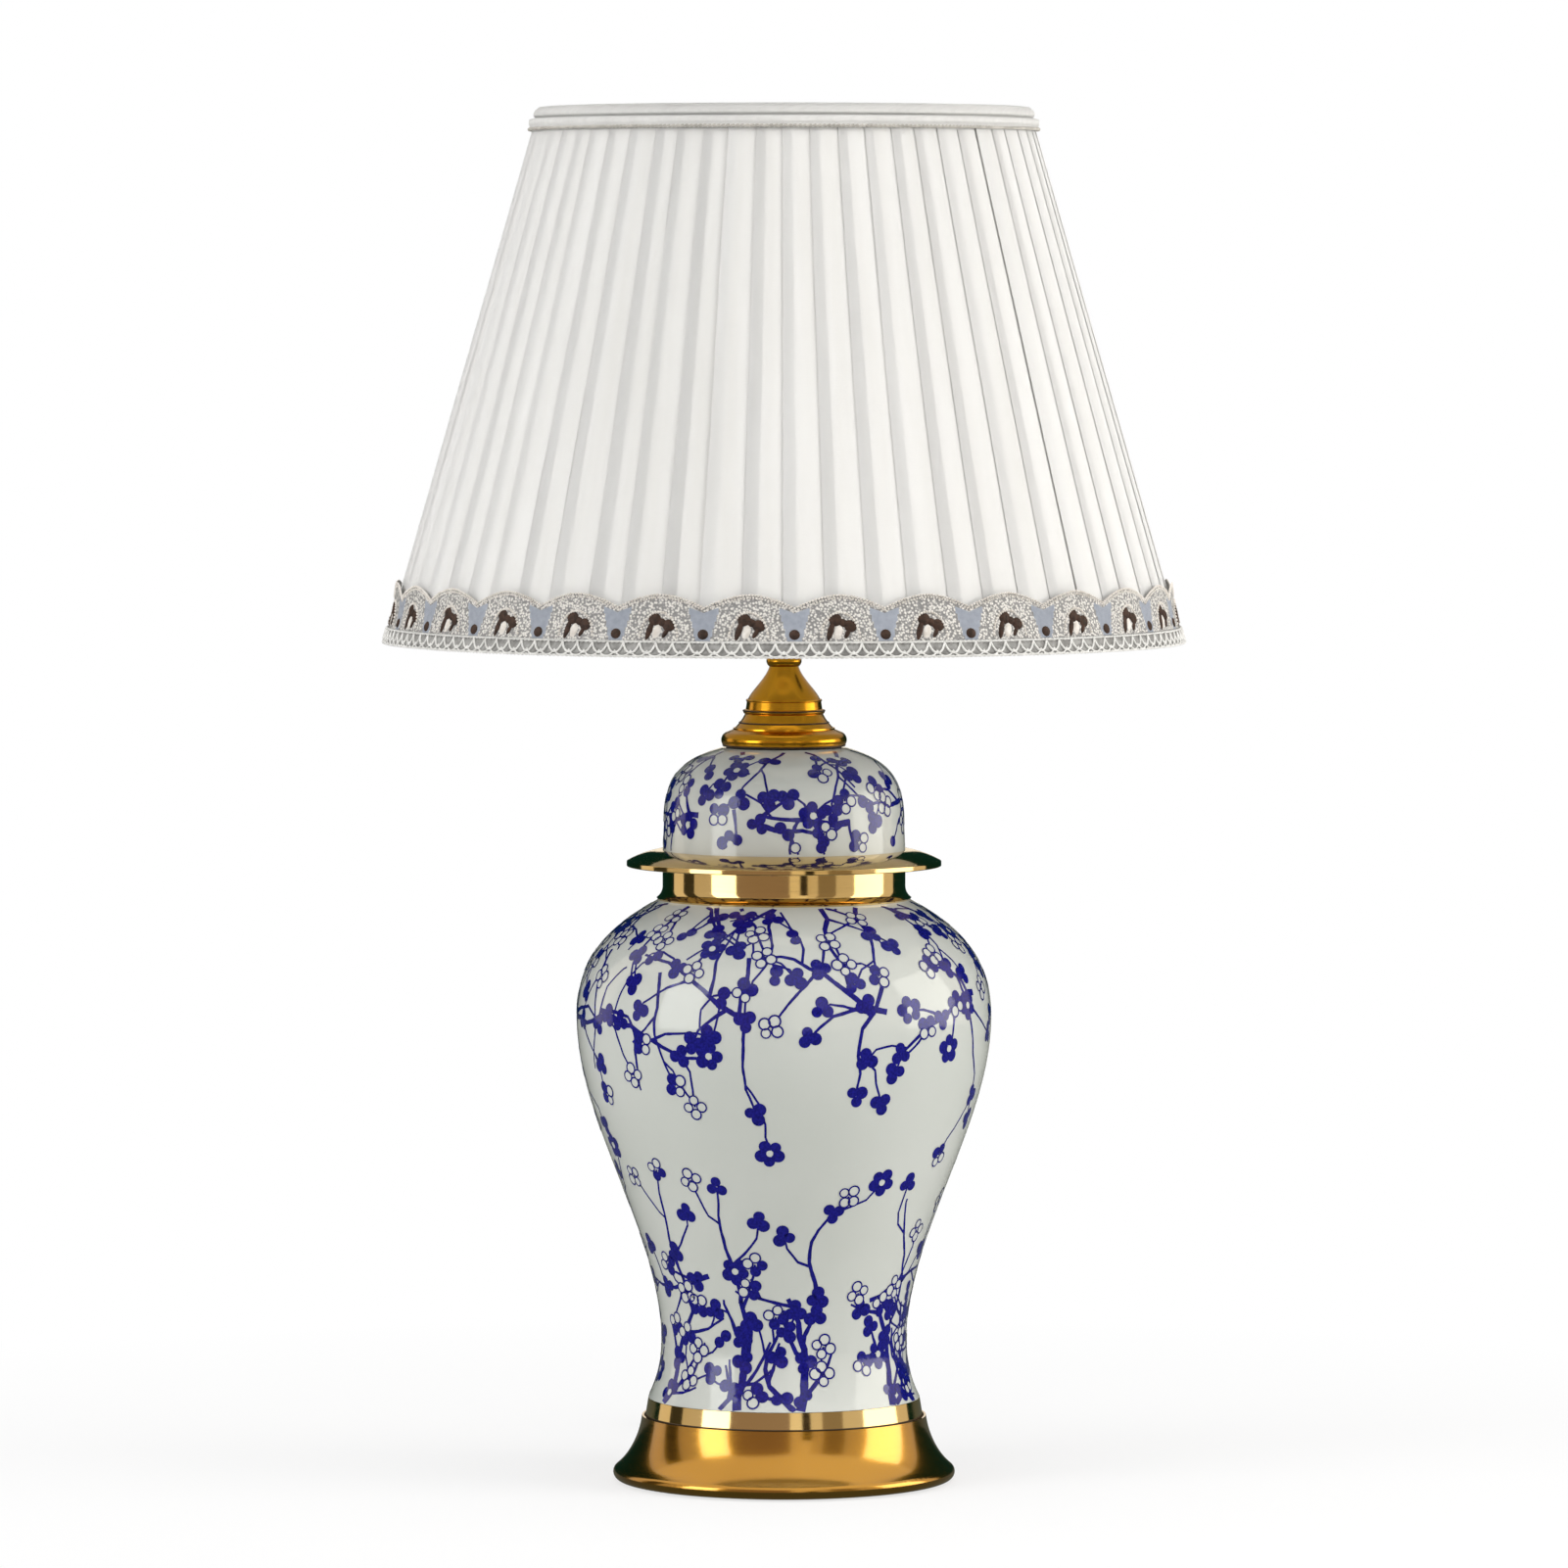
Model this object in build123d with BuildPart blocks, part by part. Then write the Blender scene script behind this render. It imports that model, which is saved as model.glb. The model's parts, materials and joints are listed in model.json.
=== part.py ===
from build123d import *
import os
from math import atan, cos, radians, sin, tan

# A table lamp: a glazed jar with a lid between a flared brass foot and a turned brass cap,
# under a pleated cloth shade. Millimetres and degrees. The origin is the centre of the
# bottom, +Z is up, -Y is the front, and the cord leaves at the back.

# Fits between pieces
FIT = 0.2  # pieces that slip together
RUN = 0.05  # radial clearance of a turning shaft
SOFT_GAP = 0.3  # room around cloth, wire and trim

# Foot
FELT_T = 1.6
FELT_INSET = 2.0  # felt inside the edge of the bottom cover
COVER_T = 1.6
COVER_INSET = 7.0  # bottom cover inside the rim of the foot
LEDGE = 2.0  # width of the step that the bottom cover rests against
RIM_LIFT = 0.8  # brass rim above the table
RIM_ROLL_R = 3.6
RIM_JOIN = 52.0  # angle at which the rolled rim runs into the flare
BASE_R = 83.0
BASE_TOP_R = 69.0
BASE_H = 32.0
BASE_WALL = 1.8
FLARE_REACH = 8.6  # how far the flare holds its direction at the rim
FLARE_RISE = 9.0  # how far it holds its direction at the top
SEAT_DEPTH = 1.4
SEAT_LIP = 1.0
FOOT_GASKET_T = 0.8
FOOT_GASKET_INSET = 4.4  # gasket inside the edge of the jar's foot
FOOT_GASKET_W = 17.0

# Cord
CORD_D = 5.5
CORD_EXIT_Z = 20.0
GROMMET_R = 4.6
BOOT_R = 6.5
BOOT_REACH = 15.0  # from the rim of the foot to the tip of the boot
BOOT_SKIN = 0.8
CORE_D = 2.0
CORE_BEND_R = 1.2
BEND_SHARE = 0.45  # part of a run that the bend at its end may take

# Rod and its fixings
ROD_D = 10.0
ROD_BORE = 8.0
ROD_HOLE_GAP = 0.4
PLATE_WASHER_R = 22.0
PLATE_WASHER_T = 2.0
SPRING_WASHER_R = 8.5
SPRING_WASHER_T = 2.2
SPRING_WASHER_SLIT = 1.6
NUT_ACROSS_FLATS = 17.0
NUT_T = 6.0
ROD_END = 1.5  # rod below its nut

# Jar
BAND_H = 9.2
BAND_T = 1.0
BAND_TOP_R = 65.9
BAND_GAP = 0.6  # dark line between the foot band and the lip of the seat
JAR_WALL = 6.0
JAR_FLOOR_T = 10.0
WAIST_R = 59.4
WAIST_H = 36.6
BELLY_R = 100.5
BELLY_H = 194.9
SHOULDER_RISE = 32.0
SHOULDER_REACH = 22.0
NECK_R = 57.6
NECK_FILLET_R = 8.0
NECK_FILLET_H = 257.9
NECK_LEAN = 30.0  # slope of the shoulder where it meets the neck
JAR_H = 274.4
COLLAR_T = 1.0
COLLAR_LIP = 55.0  # sweep of the collar's flared lip

# Saucer and lid
SAUCER_R = 76.2
SAUCER_T = 1.2
SAUCER_HOLE_R = 50.0
BRIM_DROP = 5.6
BRIM_CROWN = 0.9
BRIM_LIP = 2.4  # turned-down edge of the saucer
LID_R = 58.7
LID_SIDE_R = 58.2
LID_SIDE_H = 13.0
LID_H = 49.4
LID_FLAT_R = 30.0
LID_RISE = 23.0
LID_REACH = 20.0
LID_DROP = 6.0
LID_WALL = 5.0
SPIGOT_H = 7.0
SPIGOT_WALL = 4.0
LID_GASKET_R = 28.0
LID_GASKET_T = 0.8

# Turned cap
CAP_R = 30.4
CAP_RING_REACH = 2.6  # height of the base ring's widest line
CAP_FOOT_R = 29.2
CAP_RING_R = 27.4
CAP_RING_H = 6.8
CAP_STEP_R = 24.6
CAP_STEP_H = 8.0
CAP_TIER_R = 23.8
CAP_TIER_H = 8.8
CAP_WAIST_R = 18.9
CAP_WAIST_H = 15.4
CAP_BEAD_R = 19.7
CAP_BEAD_H = 2.4
CAP_BAND_R = 18.5
CAP_BAND_TOP_R = 18.0
CAP_BAND_H = 3.6
CAP_RIDGE_R = 18.4
CAP_RIDGE_H = 1.2
CAP_BELL_R = 17.4
CAP_NECK_R = 7.1
CAP_NECK_H = 38.4
CAP_LIP_R = 8.5
CAP_LIP_TOP_R = 7.9
CAP_H = 43.0
CAP_WALL = 3.0
CAP_SWEEP = 0.45  # hollow of the tier, as a share of its run
CAP_BELL_LOW = 0.24  # where the bell lets go of its foot, as a share of its height
CAP_BELL_HIGH = 0.66  # where it comes upright
CAP_BELL_PULL = 1.3  # how far the bell leans in at both ends

# Lamp socket
SOCKET_CAP_R = 17.2
SOCKET_CAP_H = 18.0
SOCKET_HUB_R = 7.6
SOCKET_HUB_T = 4.0
SOCKET_WALL = 0.8
SOCKET_CURVE_H = 12.5
SHELL_WALL = 0.6
SHELL_SEAT_H = 12.7  # bottom of the socket shell above the hub
SHELL_H = 43.4
LINER_T = 0.4
INTERIOR_H = 18.0
INTERIOR_SEAT_H = 11.0
TERMINAL_FLAT = 11.0
TERMINAL_H = 17.5
TERMINAL_HEAD_R = 3.0
TERMINAL_HEAD_T = 2.0
TERMINAL_SHANK_R = 1.5
TERMINAL_SHANK_L = 5.0
ROD_IN_SOCKET = 6.0
CORE_RISE = 1.8
SCREW_COLLAR_SEAT_H = 31.2
SCREW_COLLAR_R = 19.0
SCREW_COLLAR_H = 16.0
SCREW_COLLAR_FLANGE_R = 23.5
SCREW_COLLAR_FLANGE_T = 2.0
CONTACT_H = 4.0
CONTACT_T = 0.6
CONTACT_W = 6.0
CONTACT_L = 9.0
SCREW_WALL = 0.4

# Turn switch
KNOB_H = 23.0  # spindle above the bottom of the socket
SPINDLE_R = 2.0
SPINDLE_IN = 3.0
SPINDLE_HOLE_R = 3.2
KNOB_R = 5.5
KNOB_IN = 22.0
KNOB_L = 15.0
KNOB_BORE_L = 9.0
KNOB_FLUTES = 10
KNOB_FLUTE_R = 0.8

# Bulb, with the standard screw cap for a lamp of this size
BULB_CREST_R = 13.1
BULB_ROOT_R = 12.2
BULB_PITCH = 3.63
BULB_TURNS = 4
BULB_CAP_WALL = 0.5
BULB_CONTACT_R = 4.8
BULB_CONTACT_T = 1.2
BULB_INSULATOR_H = 4.0
BULB_COLLAR_H = 4.0
BULB_NECK_R = 13.6
BULB_R = 30.0
BULB_HOUSING_H = 40.0
BULB_WALL = 1.4
BULB_BELT = 16.0  # diffuser below its widest line
LED_BOARD_T = 1.6

# Shade
SHADE_BOTTOM_R = 192.4
SHADE_TOP_R = 119.2
SHADE_H = 253.6
SHADE_DROP = 25.0  # hem below the fitter
PLEATS = 60
PLEAT_RISE = 1.3
PLEAT_FOLD = 0.08  # share of a pleat taken by its fold
CLOTH_T = 0.9
LINING_T = 0.8
LINING_INSET = 7.0
RING_WIRE_R = 2.0
RING_INSET = 2.6
RIB_WIRE_R = 1.5
RIBS = 6
RIB_ANGLE = 258.0
ARM_WIRE_R = 2.0
ARMS = 3
ARM_ANGLE = 330.0
FITTER_R = 31.0
FITTER_T = 1.5
ARM_BITE = 1.0  # arm end inside the edge of the fitter
RING_NUT_R = 27.0
RING_NUT_H = 7.0
RING_NUT_NOTCHES = 30
RING_NUT_NOTCH_R = 0.7
TRIM_T = 1.2
TRIM_H = 8.0
TRIM_CROWN = 3.2
GIMP_T = 1.6
GIMP_H = 7.4
GIMP_DROP = 0.8
LACE_T = 0.9
LACE_H = 21.4
LACE_FLARE = 3.2
LACE_REPEATS = 28
LACE_NOTCH_R = 14.0
LACE_NOTCH_DEPTH = 6.0
LACE_ANGLE = 277.9

# Put-away cord: lead from the boot, a coil in two layers, a tail and the plug
LEAD_POINTS = (
    (0.0, 98.0, 20.0),
    (0.0, 113.0, 20.0),
    (3.0, 128.0, 17.2),
    (10.0, 142.0, 11.6),
    (19.5, 154.5, 7.4),
    (28.0, 166.0, 5.0),
    (33.6, 177.2, 4.1),
    (35.5, 188.6, 3.95),
    (35.5, 199.5, 3.95),
)
COIL_R = 45.5
COIL_STEP = 6.0  # from one turn to the next, and from layer to layer
COIL_HALF_TURNS_IN = 8
COIL_HALF_TURNS_OUT = 7
TAIL_RUN = 12.0
TAIL_SHIFT = 0.5
PLUG_W = 24.0
PLUG_L = 32.0
PLUG_T = 17.0
PLUG_LIFT = 0.1
PLUG_BOOT_L = 16.0
PLUG_BOOT_R = 5.8
PLUG_ROUND = 3.0
BLADE_GAP = 12.7
BLADE_W = 6.35
BLADE_T = 1.5
BLADE_L = 17.0
BLADE_SET = 4.0  # blade inside the plug
BLADE_HOLE_R = 1.6
TIE_T = 0.8
TIE_W = 9.0
TIE_LIFT = 0.1

# Heights of the stack, from the table up
cover_top = FELT_T + COVER_T
seat_z = BASE_H - SEAT_DEPTH
seat_r = BASE_TOP_R - SEAT_LIP
plate_z = seat_z - BASE_WALL
jar_z = seat_z + FOOT_GASKET_T
waist_z = jar_z + WAIST_H
belly_z = jar_z + BELLY_H
fillet_z = jar_z + NECK_FILLET_H
mouth_z = jar_z + JAR_H
lid_z = mouth_z + SAUCER_T
lid_top = lid_z + LID_H
cap_z = lid_top + LID_GASKET_T
socket_z = cap_z + CAP_H
interior_z = socket_z + INTERIOR_SEAT_H
interior_top = interior_z + INTERIOR_H
collar_z = socket_z + SCREW_COLLAR_SEAT_H
fitter_z = collar_z + SCREW_COLLAR_FLANGE_T
shade_z = fitter_z - SHADE_DROP
shade_top = shade_z + SHADE_H
bulb_z = interior_top + CONTACT_H + FIT

# Shared radii
cover_r = BASE_R - COVER_INSET
felt_r = cover_r - FELT_INSET
rod_r = ROD_D / 2
rod_hole_r = rod_r + ROD_HOLE_GAP
cord_r = CORD_D / 2
band_bottom_r = seat_r - BAND_GAP
gasket_r = band_bottom_r - FOOT_GASKET_INSET
shell_r = SOCKET_CAP_R - SOCKET_WALL - FIT
liner_r = shell_r - SHELL_WALL - RUN
interior_r = liner_r - LINER_T - RUN
spindle_z = socket_z + KNOB_H
shade_slope = (SHADE_TOP_R - SHADE_BOTTOM_R) / SHADE_H
shade_lean = cos(atan(shade_slope))


def shade_r(z):
    """Radius over the pleat folds at a height."""
    return SHADE_BOTTOM_R + (z - shade_z) * shade_slope


def inside_r(z, depth):
    """Radius a given depth inside the back of the pleated cover, measured square to it."""
    return shade_r(z) - PLEAT_RISE - CLOTH_T - depth / shade_lean


def flat_ring(inner_r, outer_r, low, height):
    """Adds a flat ring that stands at the height low."""
    with BuildSketch(Plane.XY.offset(low)) as face:
        Circle(outer_r)
        Circle(inner_r, mode=Mode.SUBTRACT)
    extrude(face.sketch, amount=height)


def bore(radius, low, height):
    """Cuts a round hole along the lamp's axis."""
    with BuildSketch(Plane.XY.offset(low)) as face:
        Circle(radius)
    extrude(face.sketch, amount=height, mode=Mode.SUBTRACT)


def across(y, z):
    """Plane that looks along +Y at a point of the back."""
    return Plane(origin=(0, y, z), x_dir=(-1, 0, 0), z_dir=(0, 1, 0))


def sideways(x, z):
    """Plane that looks along +X at a point beside the axis."""
    return Plane(origin=(x, 0, z), x_dir=(0, 1, 0), z_dir=(1, 0, 0))


def bend_radii(points):
    """Largest arc that each corner of a cord's route allows."""
    radii = []
    for before, corner, after in zip(points, points[1:], points[2:]):
        first = Vector(*corner) - Vector(*before)
        second = Vector(*after) - Vector(*corner)
        half_turn = radians(first.get_angle(second)) / 2
        radii.append(BEND_SHARE * min(first.length, second.length) / tan(half_turn))
    return radii


def knuckle_thread(crest_r, root_r, low):
    """Draws the wavy flank of the lamp thread, upwards from a height."""
    middle_r = (crest_r + root_r) / 2
    for turn in range(BULB_TURNS):
        z = low + turn * BULB_PITCH
        half_z = z + BULB_PITCH / 2
        top_z = z + BULB_PITCH
        ThreePointArc((middle_r, z), (crest_r, z + BULB_PITCH / 4), (middle_r, half_z))
        ThreePointArc((middle_r, half_z), (root_r, half_z + BULB_PITCH / 4), (middle_r, top_z))
    return middle_r, low + BULB_TURNS * BULB_PITCH


# Foot

with BuildPart() as felt_pad:
    with BuildSketch():
        Circle(felt_r)
    extrude(amount=FELT_T)

with BuildPart() as bottom_cover:
    with BuildSketch(Plane.XY.offset(FELT_T)):
        Circle(cover_r)
    extrude(amount=COVER_T)

rim_r = BASE_R - RIM_ROLL_R
rim_z = RIM_LIFT + RIM_ROLL_R
join_r = rim_r + RIM_ROLL_R * cos(radians(RIM_JOIN))
join_z = rim_z + RIM_ROLL_R * sin(radians(RIM_JOIN))
flare_r = join_r - FLARE_REACH * sin(radians(RIM_JOIN))
flare_z = join_z + FLARE_REACH * cos(radians(RIM_JOIN))
flare_top_r = BASE_TOP_R + SEAT_LIP

with BuildSketch(Plane.XZ) as foot_outline:
    with BuildLine():
        Line((0, RIM_LIFT), (rim_r, RIM_LIFT))
        CenterArc((rim_r, rim_z), RIM_ROLL_R, -90, 90 + RIM_JOIN)
        Bezier((join_r, join_z), (flare_r, flare_z), (flare_top_r, BASE_H - FLARE_RISE), (BASE_TOP_R, BASE_H))
        Polyline((BASE_TOP_R, BASE_H), (0, BASE_H), (0, RIM_LIFT))
    make_face()

ledge_r = cover_r - LEDGE
hollow_z = join_z + BASE_WALL
with BuildPart() as base_foot:
    revolve(foot_outline.sketch, axis=Axis.Z)
    with BuildSketch(Plane.XZ):
        with BuildLine():
            Polyline(
                (0, 0),
                (cover_r + FIT, 0),
                (cover_r + FIT, cover_top),
                (ledge_r, cover_top),
                (ledge_r, hollow_z),
            )
            Bezier(
                (ledge_r, hollow_z),
                (flare_r - 2 * BASE_WALL, flare_z + BASE_WALL / 2),
                (flare_top_r - BASE_WALL, BASE_H - FLARE_RISE),
                (BASE_TOP_R - BASE_WALL, plate_z),
            )
            Polyline((BASE_TOP_R - BASE_WALL, plate_z), (0, plate_z), (0, 0))
        make_face()
    revolve(axis=Axis.Z, mode=Mode.SUBTRACT)
    bore(seat_r, seat_z, SEAT_DEPTH)
    bore(rod_hole_r, plate_z, BASE_WALL)
    with BuildSketch(across(0, CORD_EXIT_Z)):
        Circle(GROMMET_R + FIT)
    extrude(amount=BASE_R, mode=Mode.SUBTRACT)

boot_tip = BASE_R + BOOT_REACH
boot_root = BASE_TOP_R - BASE_WALL
with BuildPart() as cord_grommet:
    with BuildSketch(across(boot_root, CORD_EXIT_Z)):
        Circle(BOOT_R)
    with BuildSketch(across(boot_tip, CORD_EXIT_Z)):
        Circle(cord_r + BOOT_SKIN)
    loft(ruled=True)
    revolve(foot_outline.sketch, axis=Axis.Z, mode=Mode.SUBTRACT)
    with BuildSketch(across(boot_root - GROMMET_R, CORD_EXIT_Z)):
        Circle(GROMMET_R)
    extrude(amount=boot_tip - BOOT_REACH / 2 - boot_root)
    with BuildSketch(across(0, CORD_EXIT_Z)):
        Circle(cord_r)
    extrude(amount=boot_tip, mode=Mode.SUBTRACT)

with BuildPart() as foot_gasket:
    flat_ring(gasket_r - FOOT_GASKET_W, gasket_r, seat_z, FOOT_GASKET_T)

# Rod and its fixings under the seat

spring_z = plate_z - PLATE_WASHER_T - SPRING_WASHER_T
nut_z = spring_z - NUT_T
rod_z = nut_z - ROD_END
rod_top = socket_z + ROD_IN_SOCKET

with BuildPart() as plate_washer:
    flat_ring(rod_hole_r, PLATE_WASHER_R, plate_z - PLATE_WASHER_T, PLATE_WASHER_T)

with BuildPart() as spring_washer:
    flat_ring(rod_hole_r, SPRING_WASHER_R, spring_z, SPRING_WASHER_T)
    with BuildSketch(Plane.XY.offset(spring_z)):
        with Locations((SPRING_WASHER_R, 0)):
            Rectangle(2 * (SPRING_WASHER_R - rod_r), SPRING_WASHER_SLIT)
    extrude(amount=SPRING_WASHER_T, mode=Mode.SUBTRACT)

with BuildPart() as rod_nut:
    with BuildSketch(Plane.XY.offset(nut_z)):
        RegularPolygon(NUT_ACROSS_FLATS / 2, 6, major_radius=False)
        Circle(rod_r + RUN, mode=Mode.SUBTRACT)
    extrude(amount=NUT_T)

with BuildPart() as threaded_rod:
    flat_ring(ROD_BORE / 2, rod_r, rod_z, rod_top - rod_z)

# Jar, with its gilt foot band and neck collar

band_top_z = jar_z + BAND_H
with BuildPart() as foot_band:
    with BuildSketch(Plane.XZ):
        Polygon(
            (band_bottom_r, jar_z),
            (BAND_TOP_R, band_top_z),
            (BAND_TOP_R - BAND_T, band_top_z),
            (band_bottom_r - BAND_T, jar_z),
            align=None,
        )
    revolve(axis=Axis.Z)

neck_arc_r = NECK_R + NECK_FILLET_R
shoulder_end_r = neck_arc_r - NECK_FILLET_R * sin(radians(NECK_LEAN))
shoulder_end_z = fillet_z - NECK_FILLET_R * cos(radians(NECK_LEAN))
shoulder_r = shoulder_end_r + SHOULDER_REACH * cos(radians(NECK_LEAN))
shoulder_z = shoulder_end_z - SHOULDER_REACH * sin(radians(NECK_LEAN))
belly_hold = (belly_z - waist_z) / 3
rebate = BAND_T + FIT
rebate_z = band_top_z + FIT
inner_waist_r = WAIST_R - JAR_WALL
inner_belly_r = BELLY_R - JAR_WALL
inner_neck_r = NECK_R - JAR_WALL
inner_neck_z = fillet_z - JAR_WALL / 2
jar_floor_z = jar_z + JAR_FLOOR_T

with BuildPart() as jar:
    with BuildSketch(Plane.XZ):
        with BuildLine():
            Polyline(
                (rod_hole_r, jar_z),
                (band_bottom_r - rebate, jar_z),
                (BAND_TOP_R - rebate, rebate_z),
                (BAND_TOP_R, rebate_z),
            )
            TangentArc((WAIST_R, waist_z), (BAND_TOP_R, rebate_z), tangent=(0, -1))
            Bezier(
                (WAIST_R, waist_z),
                (WAIST_R, waist_z + belly_hold),
                (BELLY_R, belly_z - belly_hold),
                (BELLY_R, belly_z),
            )
            Bezier(
                (BELLY_R, belly_z),
                (BELLY_R, belly_z + SHOULDER_RISE),
                (shoulder_r, shoulder_z),
                (shoulder_end_r, shoulder_end_z),
            )
            CenterArc((neck_arc_r, fillet_z), NECK_FILLET_R, 180, 90 - NECK_LEAN)
            Polyline(
                (NECK_R, fillet_z),
                (NECK_R, mouth_z),
                (inner_neck_r, mouth_z),
                (inner_neck_r, inner_neck_z),
            )
            Bezier(
                (inner_neck_r, inner_neck_z),
                (shoulder_r - JAR_WALL, shoulder_z - JAR_WALL / 3),
                (inner_belly_r, belly_z + SHOULDER_RISE - JAR_WALL / 2),
                (inner_belly_r, belly_z),
            )
            Bezier(
                (inner_belly_r, belly_z),
                (inner_belly_r, belly_z - belly_hold),
                (inner_waist_r, waist_z + belly_hold),
                (inner_waist_r, waist_z),
            )
            Polyline(
                (inner_waist_r, waist_z),
                (inner_waist_r, jar_floor_z),
                (rod_hole_r, jar_floor_z),
                (rod_hole_r, jar_z),
            )
        make_face()
    revolve(axis=Axis.Z)

collar_in_r = NECK_R + FIT
collar_out_r = collar_in_r + COLLAR_T
collar_top = mouth_z - FIT
collar_in_arc = NECK_FILLET_R - FIT
collar_out_arc = collar_in_arc - COLLAR_T
lip_cos = cos(radians(COLLAR_LIP))
lip_sin = sin(radians(COLLAR_LIP))
with BuildPart() as neck_collar:
    with BuildSketch(Plane.XZ):
        with BuildLine():
            CenterArc((neck_arc_r, fillet_z), collar_in_arc, 180, COLLAR_LIP)
            CenterArc((neck_arc_r, fillet_z), collar_out_arc, 180, COLLAR_LIP)
            Line(
                (neck_arc_r - collar_in_arc * lip_cos, fillet_z - collar_in_arc * lip_sin),
                (neck_arc_r - collar_out_arc * lip_cos, fillet_z - collar_out_arc * lip_sin),
            )
            Polyline(
                (collar_in_r, fillet_z),
                (collar_in_r, collar_top),
                (collar_out_r, collar_top),
                (collar_out_r, fillet_z),
            )
        make_face()
    revolve(axis=Axis.Z)

# Saucer, lid and cap

brim_r = collar_out_r + SAUCER_T
brim_mid_r = (brim_r + SAUCER_R) / 2
brim_mid_z = mouth_z - BRIM_DROP / 2 + BRIM_CROWN
brim_edge_z = lid_z - BRIM_DROP
brim_under_r = SAUCER_R - SAUCER_T
with BuildPart() as lid_saucer:
    with BuildSketch(Plane.XZ):
        with BuildLine():
            Polyline((brim_r, mouth_z), (SAUCER_HOLE_R, mouth_z), (SAUCER_HOLE_R, lid_z), (brim_r, lid_z))
            ThreePointArc(
                (brim_r, lid_z),
                (brim_mid_r, brim_mid_z + SAUCER_T),
                (SAUCER_R, brim_edge_z),
            )
            Polyline(
                (SAUCER_R, brim_edge_z),
                (SAUCER_R, brim_edge_z - BRIM_LIP),
                (brim_under_r, brim_edge_z - BRIM_LIP),
                (brim_under_r, brim_edge_z - SAUCER_T),
            )
            ThreePointArc((brim_under_r, brim_edge_z - SAUCER_T), (brim_mid_r, brim_mid_z), (brim_r, mouth_z))
        make_face()
    revolve(axis=Axis.Z)
    rim_edges = lid_saucer.edges().filter_by(GeomType.CIRCLE).group_by(SortBy.RADIUS)[-1]
    fillet(rim_edges, SAUCER_T / 3)

lid_side_z = lid_z + LID_SIDE_H
spigot_r = SAUCER_HOLE_R - 2 * FIT
spigot_in_r = spigot_r - SPIGOT_WALL
lid_in_r = LID_SIDE_R - LID_WALL
with BuildPart() as lid:
    with BuildSketch(Plane.XZ):
        with BuildLine():
            Polyline(
                (spigot_in_r, lid_z - SPIGOT_H),
                (spigot_r, lid_z - SPIGOT_H),
                (spigot_r, lid_z),
                (LID_R, lid_z),
                (LID_SIDE_R, lid_side_z),
            )
            Bezier(
                (LID_SIDE_R, lid_side_z),
                (LID_SIDE_R, lid_side_z + LID_RISE),
                (LID_FLAT_R + LID_REACH, lid_top - LID_DROP),
                (LID_FLAT_R, lid_top),
            )
            Polyline(
                (LID_FLAT_R, lid_top),
                (rod_hole_r, lid_top),
                (rod_hole_r, lid_top - LID_WALL),
                (LID_FLAT_R, lid_top - LID_WALL),
            )
            Bezier(
                (LID_FLAT_R, lid_top - LID_WALL),
                (LID_FLAT_R + LID_REACH - LID_WALL, lid_top - LID_DROP - LID_WALL),
                (lid_in_r, lid_side_z + LID_RISE - LID_WALL),
                (lid_in_r, lid_side_z),
            )
            Polyline(
                (lid_in_r, lid_side_z),
                (lid_in_r, lid_z + LID_WALL),
                (spigot_in_r, lid_z),
                (spigot_in_r, lid_z - SPIGOT_H),
            )
        make_face()
    revolve(axis=Axis.Z)

with BuildPart() as lid_gasket:
    flat_ring(rod_hole_r, LID_GASKET_R, lid_top, LID_GASKET_T)

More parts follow.
